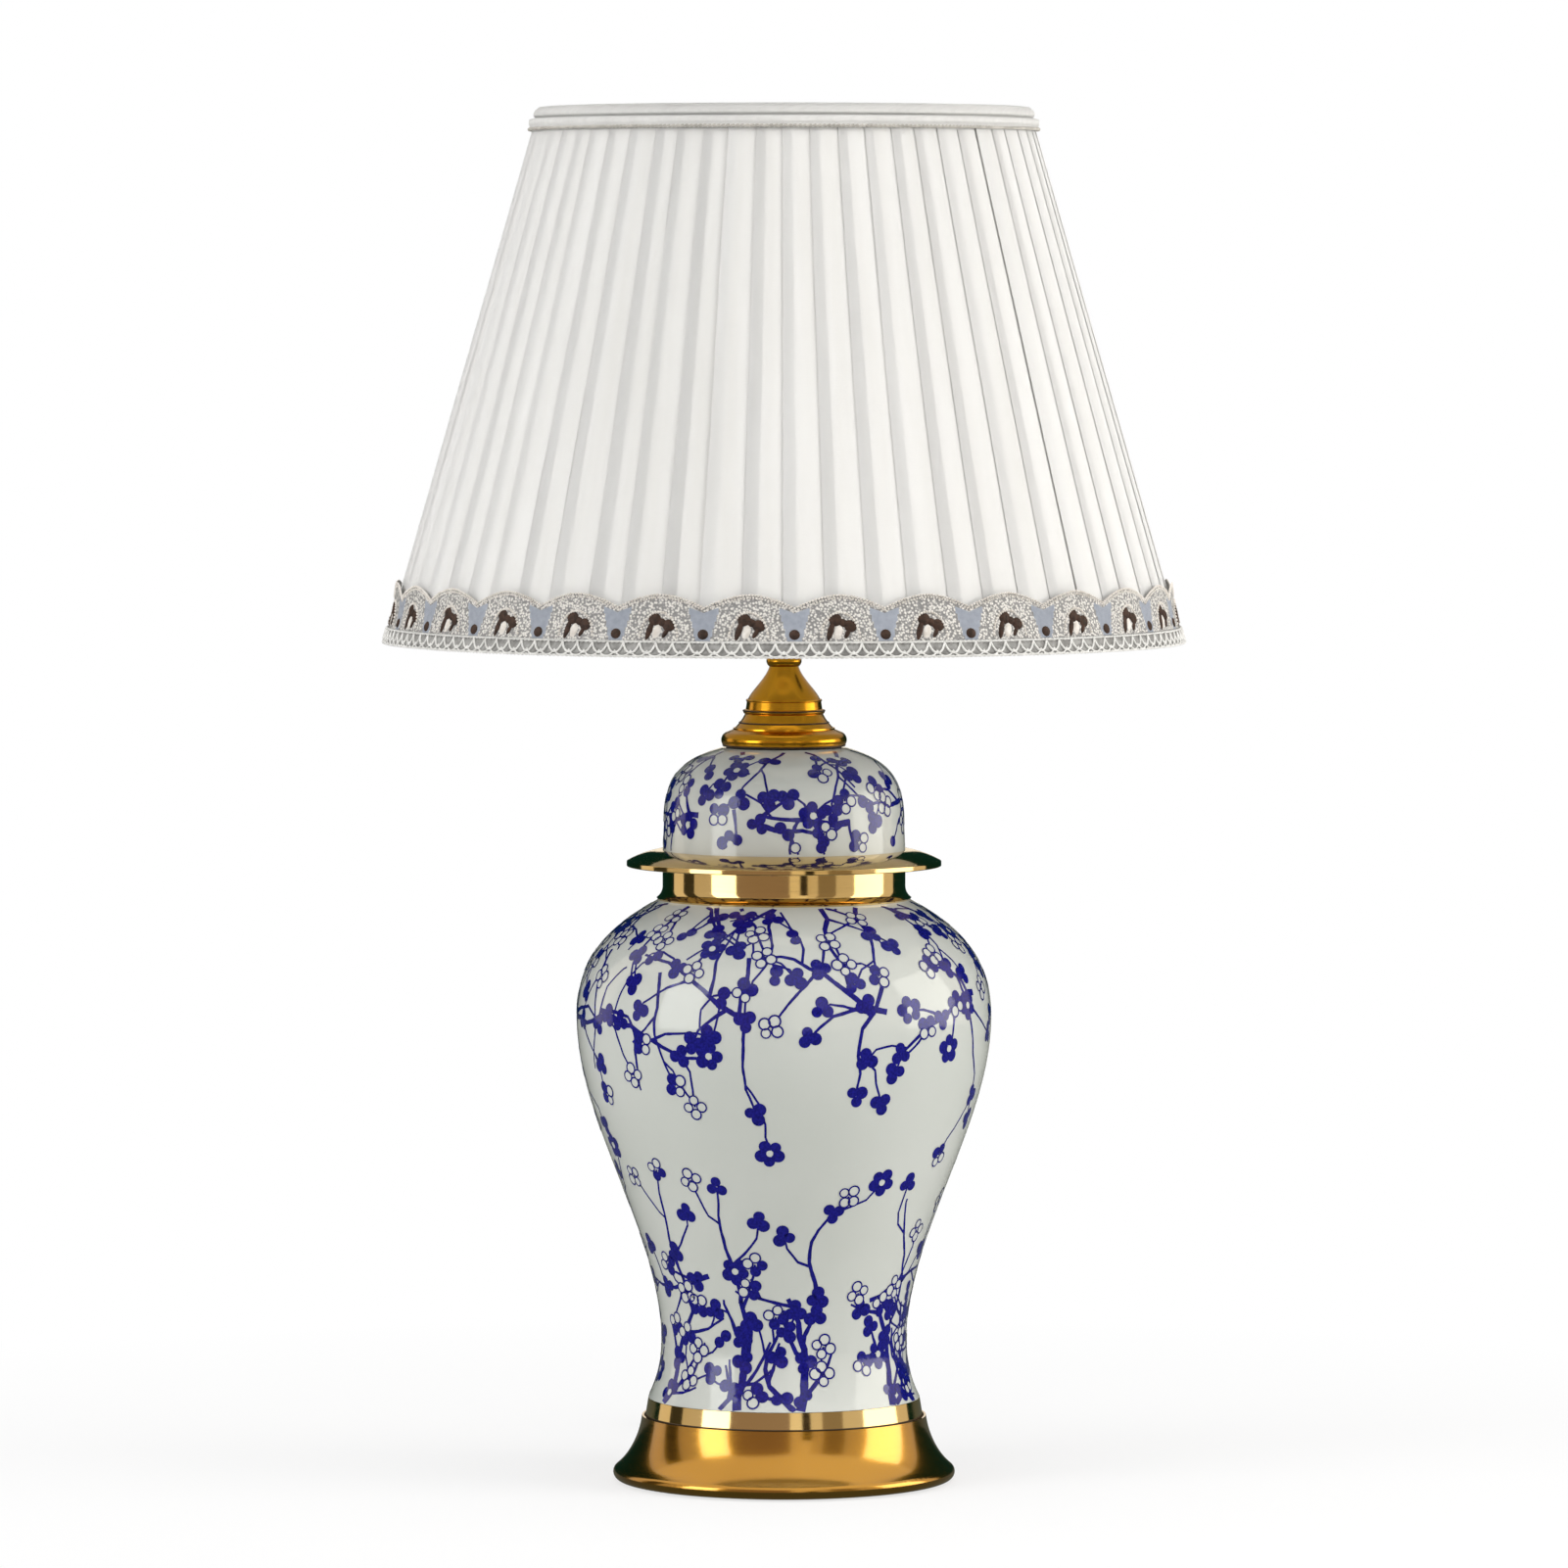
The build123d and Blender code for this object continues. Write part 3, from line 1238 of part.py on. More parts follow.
pieces = {
    "felt_pad": felt_pad,
    "bottom_cover": bottom_cover,
    "base_foot": base_foot,
    "cord_grommet": cord_grommet,
    "foot_gasket": foot_gasket,
    "plate_washer": plate_washer,
    "spring_washer": spring_washer,
    "rod_nut": rod_nut,
    "threaded_rod": threaded_rod,
    "foot_band": foot_band,
    "jar": jar,
    "neck_collar": neck_collar,
    "lid_saucer": lid_saucer,
    "lid": lid,
    "lid_gasket": lid_gasket,
    "vase_cap": vase_cap,
    "socket_cap": socket_cap,
    "socket_shell": socket_shell,
    "socket_liner": socket_liner,
    "socket_interior": socket_interior,
    "terminal_screws": terminal_screws,
    "screw_shell": screw_shell,
    "centre_contact": centre_contact,
    "threaded_collar": threaded_collar,
    "switch_spindle": switch_spindle,
    "switch_knob": switch_knob,
    "bulb_contact": bulb_contact,
    "bulb_insulator": bulb_insulator,
    "bulb_cap": bulb_cap,
    "bulb_housing": bulb_housing,
    "led_board": led_board,
    "bulb_diffuser": bulb_diffuser,
    "shade_ring_nut": shade_ring_nut,
    "shade_fitter": shade_fitter,
    "fitter_arms": fitter_arms,
    "shade_bottom_ring": shade_bottom_ring,
    "shade_top_ring": shade_top_ring,
    "shade_ribs": shade_ribs,
    "pleated_cover": pleated_cover,
    "shade_lining": shade_lining,
    "top_trim": top_trim,
    "lace_band": lace_band,
    "gimp_braid": gimp_braid,
    "inner_cord": inner_cord,
    "core_wires": core_wires,
    "cord_lead": cord_lead,
    "cord_coil": cord_coil,
    "cord_tail": cord_tail,
    "cord_tie": cord_tie,
    "plug_body": plug_body,
    "plug_blades": plug_blades,
}
os.makedirs("parts", exist_ok=True)
for name, piece in pieces.items():
    piece.part.label = name
    export_step(piece.part, f"parts/{name}.step")
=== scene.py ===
import json
import random
from math import atan2, cos, dist, hypot, pi, radians, sin

import bpy
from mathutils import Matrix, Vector, noise
from mathutils.bvhtree import BVHTree


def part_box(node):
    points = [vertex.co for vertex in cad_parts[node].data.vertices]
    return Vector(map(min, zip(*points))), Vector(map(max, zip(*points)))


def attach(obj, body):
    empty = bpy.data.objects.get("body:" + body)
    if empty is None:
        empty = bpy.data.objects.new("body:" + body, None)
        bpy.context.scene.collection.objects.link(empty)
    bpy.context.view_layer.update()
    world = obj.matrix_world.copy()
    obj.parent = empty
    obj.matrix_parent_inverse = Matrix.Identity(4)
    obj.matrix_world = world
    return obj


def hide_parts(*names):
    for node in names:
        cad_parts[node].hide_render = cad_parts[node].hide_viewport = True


# A glazed jar lamp under a pleated shade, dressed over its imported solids.
# Metres and radians. +Z is up, -Y is the front, and the cord leaves at the back.

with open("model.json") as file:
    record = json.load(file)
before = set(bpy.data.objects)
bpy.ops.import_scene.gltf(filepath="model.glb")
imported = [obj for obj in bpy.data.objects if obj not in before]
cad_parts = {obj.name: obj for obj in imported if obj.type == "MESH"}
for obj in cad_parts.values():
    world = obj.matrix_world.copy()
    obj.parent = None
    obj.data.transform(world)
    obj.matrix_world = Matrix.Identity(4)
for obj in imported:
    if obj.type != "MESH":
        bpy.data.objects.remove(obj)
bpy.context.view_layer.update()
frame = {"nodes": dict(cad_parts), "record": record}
nodes = frame["nodes"]
scene = bpy.context.scene

MM = 0.001
TURN = 2 * pi
FRONT = radians(270)

# Camera, from a little above the lamp's middle
CAMERA_DISTANCE = 4.4
CAMERA_HEIGHT = 0.583
AIM_HEIGHT = 0.3386
LENS_MM = 209.0
SENSOR_MM = 36.0

# Cord: its route from the foot, the coil's turns and the tail, as the solids have them
CORD_D = 5.5 * MM
LEAD_POINTS = (
    (0.0, 0.0980, 0.0200),
    (0.0, 0.1130, 0.0200),
    (0.0030, 0.1280, 0.0172),
    (0.0100, 0.1420, 0.0116),
    (0.0195, 0.1545, 0.0074),
    (0.0280, 0.1660, 0.0050),
    (0.0336, 0.1772, 0.0041),
    (0.0355, 0.1886, 0.00395),
    (0.0355, 0.1995, 0.00395),
)
TAIL_POINTS = (
    (0.0355, 0.2105, 0.00995),
    (0.0355, 0.2225, 0.00995),
    (0.0360, 0.2345, 0.0086),
    (0.0360, 0.2465, 0.0086),
)
COIL_R = 45.5 * MM
COIL_STEP = 6.0 * MM
HALF_TURNS_IN = 8
HALF_TURNS_OUT = 7
HALF_TURN_POINTS = 12
CORD_FACETS = 4
CORD_STEPS = 4
CORD_ORDER = 3


def add_object(name, data):
    """A new object in the scene."""
    made = bpy.data.objects.new(name, data)
    scene.collection.objects.link(made)
    return made


def add_camera():
    """Looks at the lamp as the photograph does."""
    data = bpy.data.cameras.new("photo_camera")
    data.lens = LENS_MM
    data.sensor_width = SENSOR_MM
    camera = add_object("photo_camera", data)
    camera.location = (0, -CAMERA_DISTANCE, CAMERA_HEIGHT)
    aim = Vector((0, 0, AIM_HEIGHT)) - camera.location
    camera.rotation_euler = aim.to_track_quat("-Z", "Y").to_euler()
    scene.camera = camera


def coil_points():
    """Half turns that spiral in on the table, climb a layer and spiral out again."""
    x, y, z = LEAD_POINTS[-1]
    y += CORD_D
    points = []
    heading = 1
    for half_turn in range(HALF_TURNS_IN + 1 + HALF_TURNS_OUT):
        steps_in = min(half_turn, 2 * HALF_TURNS_IN - half_turn)
        turn_r = COIL_R - steps_in * COIL_STEP / 2
        corner_r = turn_r / cos(pi / HALF_TURN_POINTS / 2)
        middle_x = x - heading * turn_r
        climbs = half_turn == HALF_TURNS_IN
        for step in range(HALF_TURN_POINTS):
            share = (step + 0.5) / HALF_TURN_POINTS
            angle = pi * share
            rise = COIL_STEP * share if climbs else 0.0
            across = heading * corner_r * cos(angle)
            along = heading * corner_r * sin(angle)
            points.append((middle_x + across, y + along, z + rise))
        z += COIL_STEP if climbs else 0.0
        x -= 2 * heading * turn_r
        heading = -heading
    return points


def add_cord(material):
    """One smooth cord from the foot to the plug."""
    route = list(LEAD_POINTS) + coil_points() + list(TAIL_POINTS)
    data = bpy.data.curves.new("cord", "CURVE")
    data.dimensions = "3D"
    data.bevel_depth = CORD_D / 2
    data.bevel_resolution = CORD_FACETS
    data.resolution_u = CORD_STEPS
    data.use_fill_caps = True
    spline = data.splines.new("NURBS")
    spline.points.add(len(route) - 1)
    for point, place in zip(spline.points, route):
        point.co = (*place, 1.0)
    spline.order_u = CORD_ORDER
    spline.use_endpoint_u = True
    data.materials.append(material)
    cord = add_object("cord", data)
    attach(cord, "lamp")
    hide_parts("cord_lead", "cord_coil", "cord_tail")


# Materials

EVEN = (1, 1, 1)
DRAWN = (1, 0.05, 1)
FINE = 4.0
LATHE_PATCHES = 9.0
LATHE_GRAIN = 1.0
LATHE_STRETCH = (30, 30, 4200)
GLAZE_ROUGH = (0.06, 0.14)
PEEL_SCALE = 34.0
PEEL_DEPTH = 0.00008
BEAD_TONES = (0.30, 0.62)
BEAD_ROUGH = 0.6


def new_material(name):
    """An empty shader to fill in."""
    material = bpy.data.materials.new(name)
    material.use_nodes = True
    tree = material.node_tree
    return material, tree, tree.nodes["Principled BSDF"]


def fill_sockets(node, values):
    """Sets constants on a node's sockets."""
    for key, value in (values or {}).items():
        node.inputs[key].default_value = value


def add_node(tree, kind, sockets=None, **settings):
    """A node with its settings and its unlinked sockets filled in."""
    made = tree.nodes.new(kind)
    for key, value in settings.items():
        setattr(made, key, value)
    fill_sockets(made, sockets)
    return made


def opaque(colour):
    """A colour with its alpha."""
    return (*colour, 1.0)


def stretched_coords(tree, stretch, cloth=False):
    """Places on the object, or along its cloth, scaled differently along each axis."""
    source = add_node(tree, "ShaderNodeTexCoord")
    mapping = add_node(tree, "ShaderNodeMapping", {"Scale": stretch})
    tree.links.new(source.outputs["UV" if cloth else "Object"], mapping.inputs["Vector"])
    return mapping.outputs["Vector"]


def noise_value(tree, vector, scale, detail=3.0):
    """A soft random value over a surface."""
    texture = add_node(tree, "ShaderNodeTexNoise", {"Scale": scale, "Detail": detail})
    tree.links.new(vector, texture.inputs["Vector"])
    return texture.outputs["Fac"]


def tones(tree, value, dark, light, low=0.35, high=0.65):
    """Colour that runs from one tone to another with a value."""
    ramp = add_node(tree, "ShaderNodeValToRGB")
    for element, place, colour in zip(ramp.color_ramp.elements, (low, high), (dark, light)):
        element.position = place
        element.color = opaque(colour)
    tree.links.new(value, ramp.inputs["Fac"])
    return ramp.outputs["Color"]


def spread(tree, value, low, high):
    """A number that runs between two limits with a value."""
    limits = {"From Min": 0.3, "From Max": 0.7, "To Min": low, "To Max": high}
    ranged = add_node(tree, "ShaderNodeMapRange", limits)
    tree.links.new(value, ranged.inputs["Value"])
    return ranged.outputs["Result"]


def add_bump(tree, shader, height, depth):
    """Raises the surface by a value times a depth in metres."""
    bump = add_node(tree, "ShaderNodeBump", {"Strength": 1.0, "Distance": depth})
    tree.links.new(height, bump.inputs["Height"])
    tree.links.new(bump.outputs["Normal"], shader.inputs["Normal"])


def surface(name, dark, light, rough, patches, grain, depth, stretch=EVEN, constants=None):
    """A material whose tone drifts in patches, and its gloss and height with a fine grain."""
    material, tree, shader = new_material(name)
    plain = stretched_coords(tree, EVEN)
    along = stretched_coords(tree, stretch)
    colour = tones(tree, noise_value(tree, plain, patches), dark, light)
    tree.links.new(colour, shader.inputs["Base Color"])
    fine = noise_value(tree, along, grain, FINE)
    tree.links.new(spread(tree, fine, *rough), shader.inputs["Roughness"])
    add_bump(tree, shader, fine, depth)
    fill_sockets(shader, constants)
    return material


def turned_brass(name, dark, light, rough, depth, lacquer=0.0):
    """Metal with fine rings from the lathe, and a clear lacquer on some of it."""
    finish = {"Metallic": 1.0, "Coat Weight": lacquer, "Coat Roughness": 0.08, "Coat IOR": 1.7}
    return surface(name, dark, light, rough, LATHE_PATCHES, LATHE_GRAIN, depth, LATHE_STRETCH, finish)


def glaze(name, dark, light, patches):
    """Glossy fired glaze with a slight orange peel."""
    gloss = {"Coat Weight": 0.3, "Coat Roughness": 0.03, "Specular IOR Level": 0.4}
    return surface(name, dark, light, GLAZE_ROUGH, patches, PEEL_SCALE, PEEL_DEPTH, EVEN, gloss)


def woven(name, dark, light, threads, depth, streak, constants):
    """Cloth with crossing threads and soft streaks along its length."""
    material, tree, shader = new_material(name)
    along = stretched_coords(tree, (*streak, 1), cloth=True)
    shade_value = noise_value(tree, along, 1.0, FINE)
    tree.links.new(tones(tree, shade_value, dark, light), shader.inputs["Base Color"])
    weave = add_node(tree, "ShaderNodeMath", operation="ADD")
    for index, axis in enumerate(("X", "Y")):
        wave = add_node(tree, "ShaderNodeTexWave", {"Scale": threads}, bands_direction=axis)
        tree.links.new(stretched_coords(tree, EVEN, cloth=True), wave.inputs["Vector"])
        tree.links.new(wave.outputs["Fac"], weave.inputs[index])
    add_bump(tree, shader, weave.outputs["Value"], depth)
    fill_sockets(shader, constants)
    return material


def beaded(name, dark, light, scale, depth):
    """Close rows of small stitched beads."""
    material, tree, shader = new_material(name)
    cells = add_node(tree, "ShaderNodeTexVoronoi", {"Scale": scale})
    tree.links.new(stretched_coords(tree, EVEN), cells.inputs["Vector"])
    colour = tones(tree, cells.outputs["Distance"], light, dark, *BEAD_TONES)
    tree.links.new(colour, shader.inputs["Base Color"])
    falling = add_node(tree, "ShaderNodeMath", {1: -1.0}, operation="MULTIPLY")
    tree.links.new(cells.outputs["Distance"], falling.inputs[0])
    add_bump(tree, shader, falling.outputs["Value"], depth)
    fill_sockets(shader, {"Roughness": BEAD_ROUGH})
    return material


CLOTH = {"Roughness": 0.85, "Sheen Weight": 0.25, "Specular IOR Level": 0.2}
CHIFFON = {**CLOTH, "Subsurface Weight": 0.4, "Subsurface Scale": 0.003, "Subsurface Radius": EVEN}
OPAL = {"Subsurface Weight": 0.4, "Subsurface Scale": 0.01, "Subsurface Radius": EVEN}
METAL = {"Metallic": 1.0}
FELTED = {"Sheen Weight": 0.4}
FUZZY = {"Sheen Weight": 0.3}
SOFT = {"Sheen Weight": 0.2}

# After the dark and the light tone: scale of the patches
GLAZES = {
    "white_glaze": ((0.525, 0.545, 0.505), (0.58, 0.595, 0.56), 7.0),
    "cobalt_glaze": ((0.004, 0.004, 0.11), (0.010, 0.009, 0.22), 900.0),
}
# Tones, roughness from and to, depth of the lathe's rings, weight of the lacquer
BRASSES = {
    "antique_brass": ((0.47, 0.225, 0.020), (0.60, 0.310, 0.042), (0.13, 0.22), 0.00001, 0.5),
    # The cap's copy of the antique brass is painted lighter, to offset the shade the lampshade casts on it
    "cap_brass_lightened_for_shade": ((0.68, 0.310, 0.014), (0.84, 0.400, 0.026), (0.15, 0.24), 0.00001),
    "gilt_brass": ((0.72, 0.50, 0.20), (0.82, 0.61, 0.29), (0.05, 0.11), 0.000006),
    "socket_brass": ((0.58, 0.39, 0.11), (0.68, 0.48, 0.16), (0.24, 0.40), 0.00003),
}
# Tones, roughness from and to, scale of patches and of grain, depth of grain, stretch, constants
SURFACES = {
    # Dark rings drawn along the seams of the turned brass
    "dark_seam_line": ((0.020, 0.010, 0.004), (0.05, 0.026, 0.008), (0.4, 0.6), 60, 800, 0.00003),
    "contact_brass": ((0.60, 0.42, 0.15), (0.70, 0.52, 0.22), (0.3, 0.5), 60, 900, 0.00004, EVEN, METAL),
    "zinc_steel": ((0.42, 0.42, 0.40), (0.56, 0.56, 0.55), (0.3, 0.5), 40, 700, 0.00005, EVEN, METAL),
    "bulb_aluminium": ((0.62, 0.62, 0.62), (0.74, 0.74, 0.75), (0.25, 0.4), 50, 900, 0.00004, EVEN, METAL),
    "blade_nickel": ((0.60, 0.58, 0.54), (0.70, 0.68, 0.64), (0.16, 0.3), 50, 1500, 0.00002, DRAWN, METAL),
    "felt": ((0.045, 0.085, 0.055), (0.085, 0.14, 0.10), (0.9, 1.0), 90, 1400, 0.0006, EVEN, FELTED),
    "fibreboard": ((0.22, 0.15, 0.09), (0.36, 0.26, 0.17), (0.7, 0.9), 45, 600, 0.0002, (1, 4, 1)),
    "gasket_rubber": ((0.018, 0.018, 0.018), (0.035, 0.035, 0.035), (0.6, 0.8), 50, 700, 0.0001),
    "phenolic": ((0.016, 0.014, 0.012), (0.030, 0.027, 0.024), (0.28, 0.42), 60, 500, 0.00006),
    "liner_paper": ((0.36, 0.27, 0.17), (0.52, 0.41, 0.28), (0.75, 0.9), 40, 500, 0.0001, (1, 1, 6)),
    "bulb_plastic": ((0.78, 0.78, 0.77), (0.84, 0.84, 0.83), (0.35, 0.5), 30, 800, 0.00005),
    "frame_wire": ((0.72, 0.71, 0.68), (0.82, 0.81, 0.78), (0.3, 0.45), 40, 400, 0.0001),
    "cord_sheath": ((0.016, 0.016, 0.017), (0.028, 0.028, 0.030), (0.42, 0.58), 40, 900, 0.00006),
    "plug_plastic": ((0.016, 0.016, 0.017), (0.030, 0.030, 0.032), (0.36, 0.5), 50, 1100, 0.00008),
    "opal": ((0.88, 0.87, 0.83), (0.93, 0.92, 0.89), (0.2, 0.3), 12, 60, 0.00005, EVEN, OPAL),
    "lace_brown": ((0.018, 0.008, 0.005), (0.050, 0.022, 0.013), (0.6, 0.8), 500, 1500, 0.0002),
    "lace_ivory": ((0.60, 0.55, 0.49), (0.76, 0.72, 0.67), (0.5, 0.7), 400, 1800, 0.0002, EVEN, FUZZY),
    "gimp_ground": ((0.20, 0.195, 0.185), (0.36, 0.355, 0.34), (0.7, 0.9), 300, 1400, 0.0003, EVEN, SOFT),
    "gimp_thread": ((0.66, 0.65, 0.62), (0.80, 0.79, 0.76), (0.6, 0.8), 300, 2600, 0.0002, EVEN, FUZZY),
    "braid_thread": ((0.40, 0.38, 0.34), (0.58, 0.55, 0.50), (0.6, 0.8), 300, 2600, 0.0002),
}
# Tones, threads, their depth, streaks, constants
CLOTHS = {
    "pleated_cloth": ((0.845, 0.832, 0.800), (0.885, 0.873, 0.845), 1600, 0.00006, (90, 7), CHIFFON),
    "lining_cloth": ((0.78, 0.77, 0.74), (0.86, 0.85, 0.82), 1200, 0.00008, (300, 12), CLOTH),
    "tape_cloth": ((0.80, 0.79, 0.76), (0.85, 0.84, 0.81), 900, 0.00010, (300, 60), CLOTH),
    "lace_ground": ((0.40, 0.435, 0.51), (0.48, 0.515, 0.585), 1300, 0.00012, (400, 400), CLOTH),
}
# Tones, scale and depth of the beads
BEADS = {"lace_beads": ((0.24, 0.235, 0.23), (0.74, 0.71, 0.665), 820.0, 0.0006)}

MATERIALS = {}
KINDS = {glaze: GLAZES, turned_brass: BRASSES, surface: SURFACES, woven: CLOTHS, beaded: BEADS}
for make, recipes in KINDS.items():
    for name, recipe in recipes.items():
        MATERIALS[name] = make(name, *recipe)

# Slots whose material has another name
SLOT_MATERIALS = {
    "glazed_jar": "white_glaze",
    "socket_phenolic": "phenolic",
    "bulb_opal": "opal",
    "lace_cloth": "lace_beads",
    "gimp_cloth": "gimp_thread",
    "cord_pvc": "cord_sheath",
    "plug_pvc": "plug_plastic",
}
# A node painted in a lighter copy of its slot's brass, to offset the shade it stands in under the lampshade
NODE_MATERIALS = {"vase_cap": "cap_brass_lightened_for_shade"}


def dress_nodes():
    """Gives each node of the frame its material."""
    for subpart in frame["record"]["subparts"]:
        name, slot = subpart["node"], subpart["material_slot"]
        finish = NODE_MATERIALS.get(name, SLOT_MATERIALS.get(slot, slot))
        data = nodes[name].data
        data.materials.clear()
        data.materials.append(MATERIALS[finish])


# Mesh building


class MeshMaker:
    """Collects points and faces, and each point's place along the cloth."""

    def __init__(self):
        self.points = []
        self.places = []
        self.faces = []
        self.slots = []

    def point(self, position, place=(0.0, 0.0)):
        self.points.append(tuple(position))
        self.places.append(place)
        return len(self.points) - 1

    def face(self, corners):
        self.faces.append(tuple(corners))
        self.slots.append(0)

    def skin(self, rows, closed=True):
        """Joins rows of points by four-sided faces."""
        for low, high in zip(rows, rows[1:]):
            count = len(low)
            for column in range(count if closed else count - 1):
                following = (column + 1) % count
                self.face((low[column], low[following], high[following], high[column]))

    def build(self, name, body, slot, *materials):
        mesh = bpy.data.meshes.new(name)
        mesh.from_pydata(self.points, [], self.faces)
        for material in materials:
            mesh.materials.append(MATERIALS[material])
        mesh.polygons.foreach_set("material_index", self.slots)
        mesh.polygons.foreach_set("use_smooth", [True] * len(self.faces))
        layer = mesh.uv_layers.new(name="cloth")
        for loop in mesh.loops:
            layer.data[loop.index].uv = self.places[loop.vertex_index]
        mesh.update()
        piece = add_object(name, mesh)
        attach(piece, body)
        return piece


def round_axis(angle, radius, height):
    """A point at an angle, radius and height about the lamp's axis."""
    return Vector((radius * cos(angle), radius * sin(angle), height))


def angles_round(count):
    """Angles spread evenly over one turn."""
    return [TURN * step / count for step in range(count)]


def scaled_noise(place, scale):
    """A soft random value at a place, with a scale for each of its axes."""
    return noise.noise([axis * step for axis, step in zip(place, scale)])


def round_noise(angle, waves, along):
    """A soft random value that meets itself again after a turn."""
    return noise.noise((waves * cos(angle), waves * sin(angle), along))


def add_ring_tube(maker, path, tube_r, sides):
    """A closed tube round the lamp's axis, along points that go once round."""
    rows = []
    for index, place in enumerate(path):
        ahead = path[(index + 1) % len(path)] - path[index - 1]
        outward = Vector((place.x, place.y, 0)).normalized()
        across = ahead.cross(outward).normalized()
        outward = across.cross(ahead).normalized()
        ring = []
        for angle in angles_round(sides):
            aside = cos(angle) * outward + sin(angle) * across
            ring.append(maker.point(place + tube_r * aside))
        rows.append(ring)
    rows.append(rows[0])
    maker.skin(rows)


def radius_at(node, height):
    """Largest radius of a node's corners at one of its end heights."""
    corners = (v.co for v in nodes[node].data.vertices if abs(v.co.z - height) < MM / 10)
    return max(hypot(corner.x, corner.y) for corner in corners)


# Painted blossom

PAINT_LIFT = 0.08 * MM
PETAL_LIFT = 0.14 * MM
FILL_LIFT = 0.20 * MM
LINE_LIFT = 0.26 * MM
PETAL_SIDES = 16
PETAL_R = 3.0 * MM
LINE_SHARE = 0.73
PETAL_SPREAD = 0.84
BLOSSOM_ROOM = 8.8 * MM
BRANCH_STEP = 2.2 * MM
THINNEST = 1.1 * MM
TWIG_MAX = 2.6 * MM
BRUSH = 0.25 * MM
BRUSH_MOST = 0.14
KINK = 0.40
PULL = 0.35
DRIFT = 0.05
TAPER = 0.55
LEAST_STEPS = 3
FIRST_RUN = (3, 5)
NEXT_RUNS = (3, 6)
# Radius from which rays look for the surface
REACH = 0.4
# Kinds of blossom: how often each is painted, and its petals
BLOSSOMS = {"trefoil": (46, 3), "outlined": (20, 4), "mixed": (18, 4), "open": (6, 5), "buds": (10, 2)}
PETAL_SHIFT = 0.08
PETAL_SIZES = (0.86, 1.10)
OPEN_HEART = 0.55
# Twigs: where in its share of the branch each starts, the room after the last, lean, length and width
TWIG_PLACES = (0.4, 0.9)
TWIG_ROOM = 0.2
TWIG_LEANS = (0.5, 1.1)
TWIG_LENGTHS = (0.30, 0.55)
TWIG_WIDTH = 0.85
ROOT_SHIFT = 0.3
HEADING_SHIFT = 0.35


class TurnedSurface:
    """The outside of a turned node, reached by angle and height."""

    def __init__(self, node):
        mesh = nodes[node].data
        corners = [vertex.co for vertex in mesh.vertices]
        self.tree = BVHTree.FromPolygons(corners, [polygon.vertices for polygon in mesh.polygons])

    def at(self, angle, height):
        outward = round_axis(angle, 1.0, 0.0)
        place, normal, _, _ = self.tree.ray_cast(outward * REACH + Vector((0, 0, height)), -outward)
        if normal.dot(outward) < 0:
            normal = -normal
        return place, normal

    def beside(self, spot, across, up):
        """The angle and height a short way along the surface."""
        place, normal = self.at(*spot)
        lean = hypot(normal.x, normal.y)
        return spot[0] + across / hypot(place.x, place.y), spot[1] + up * lean


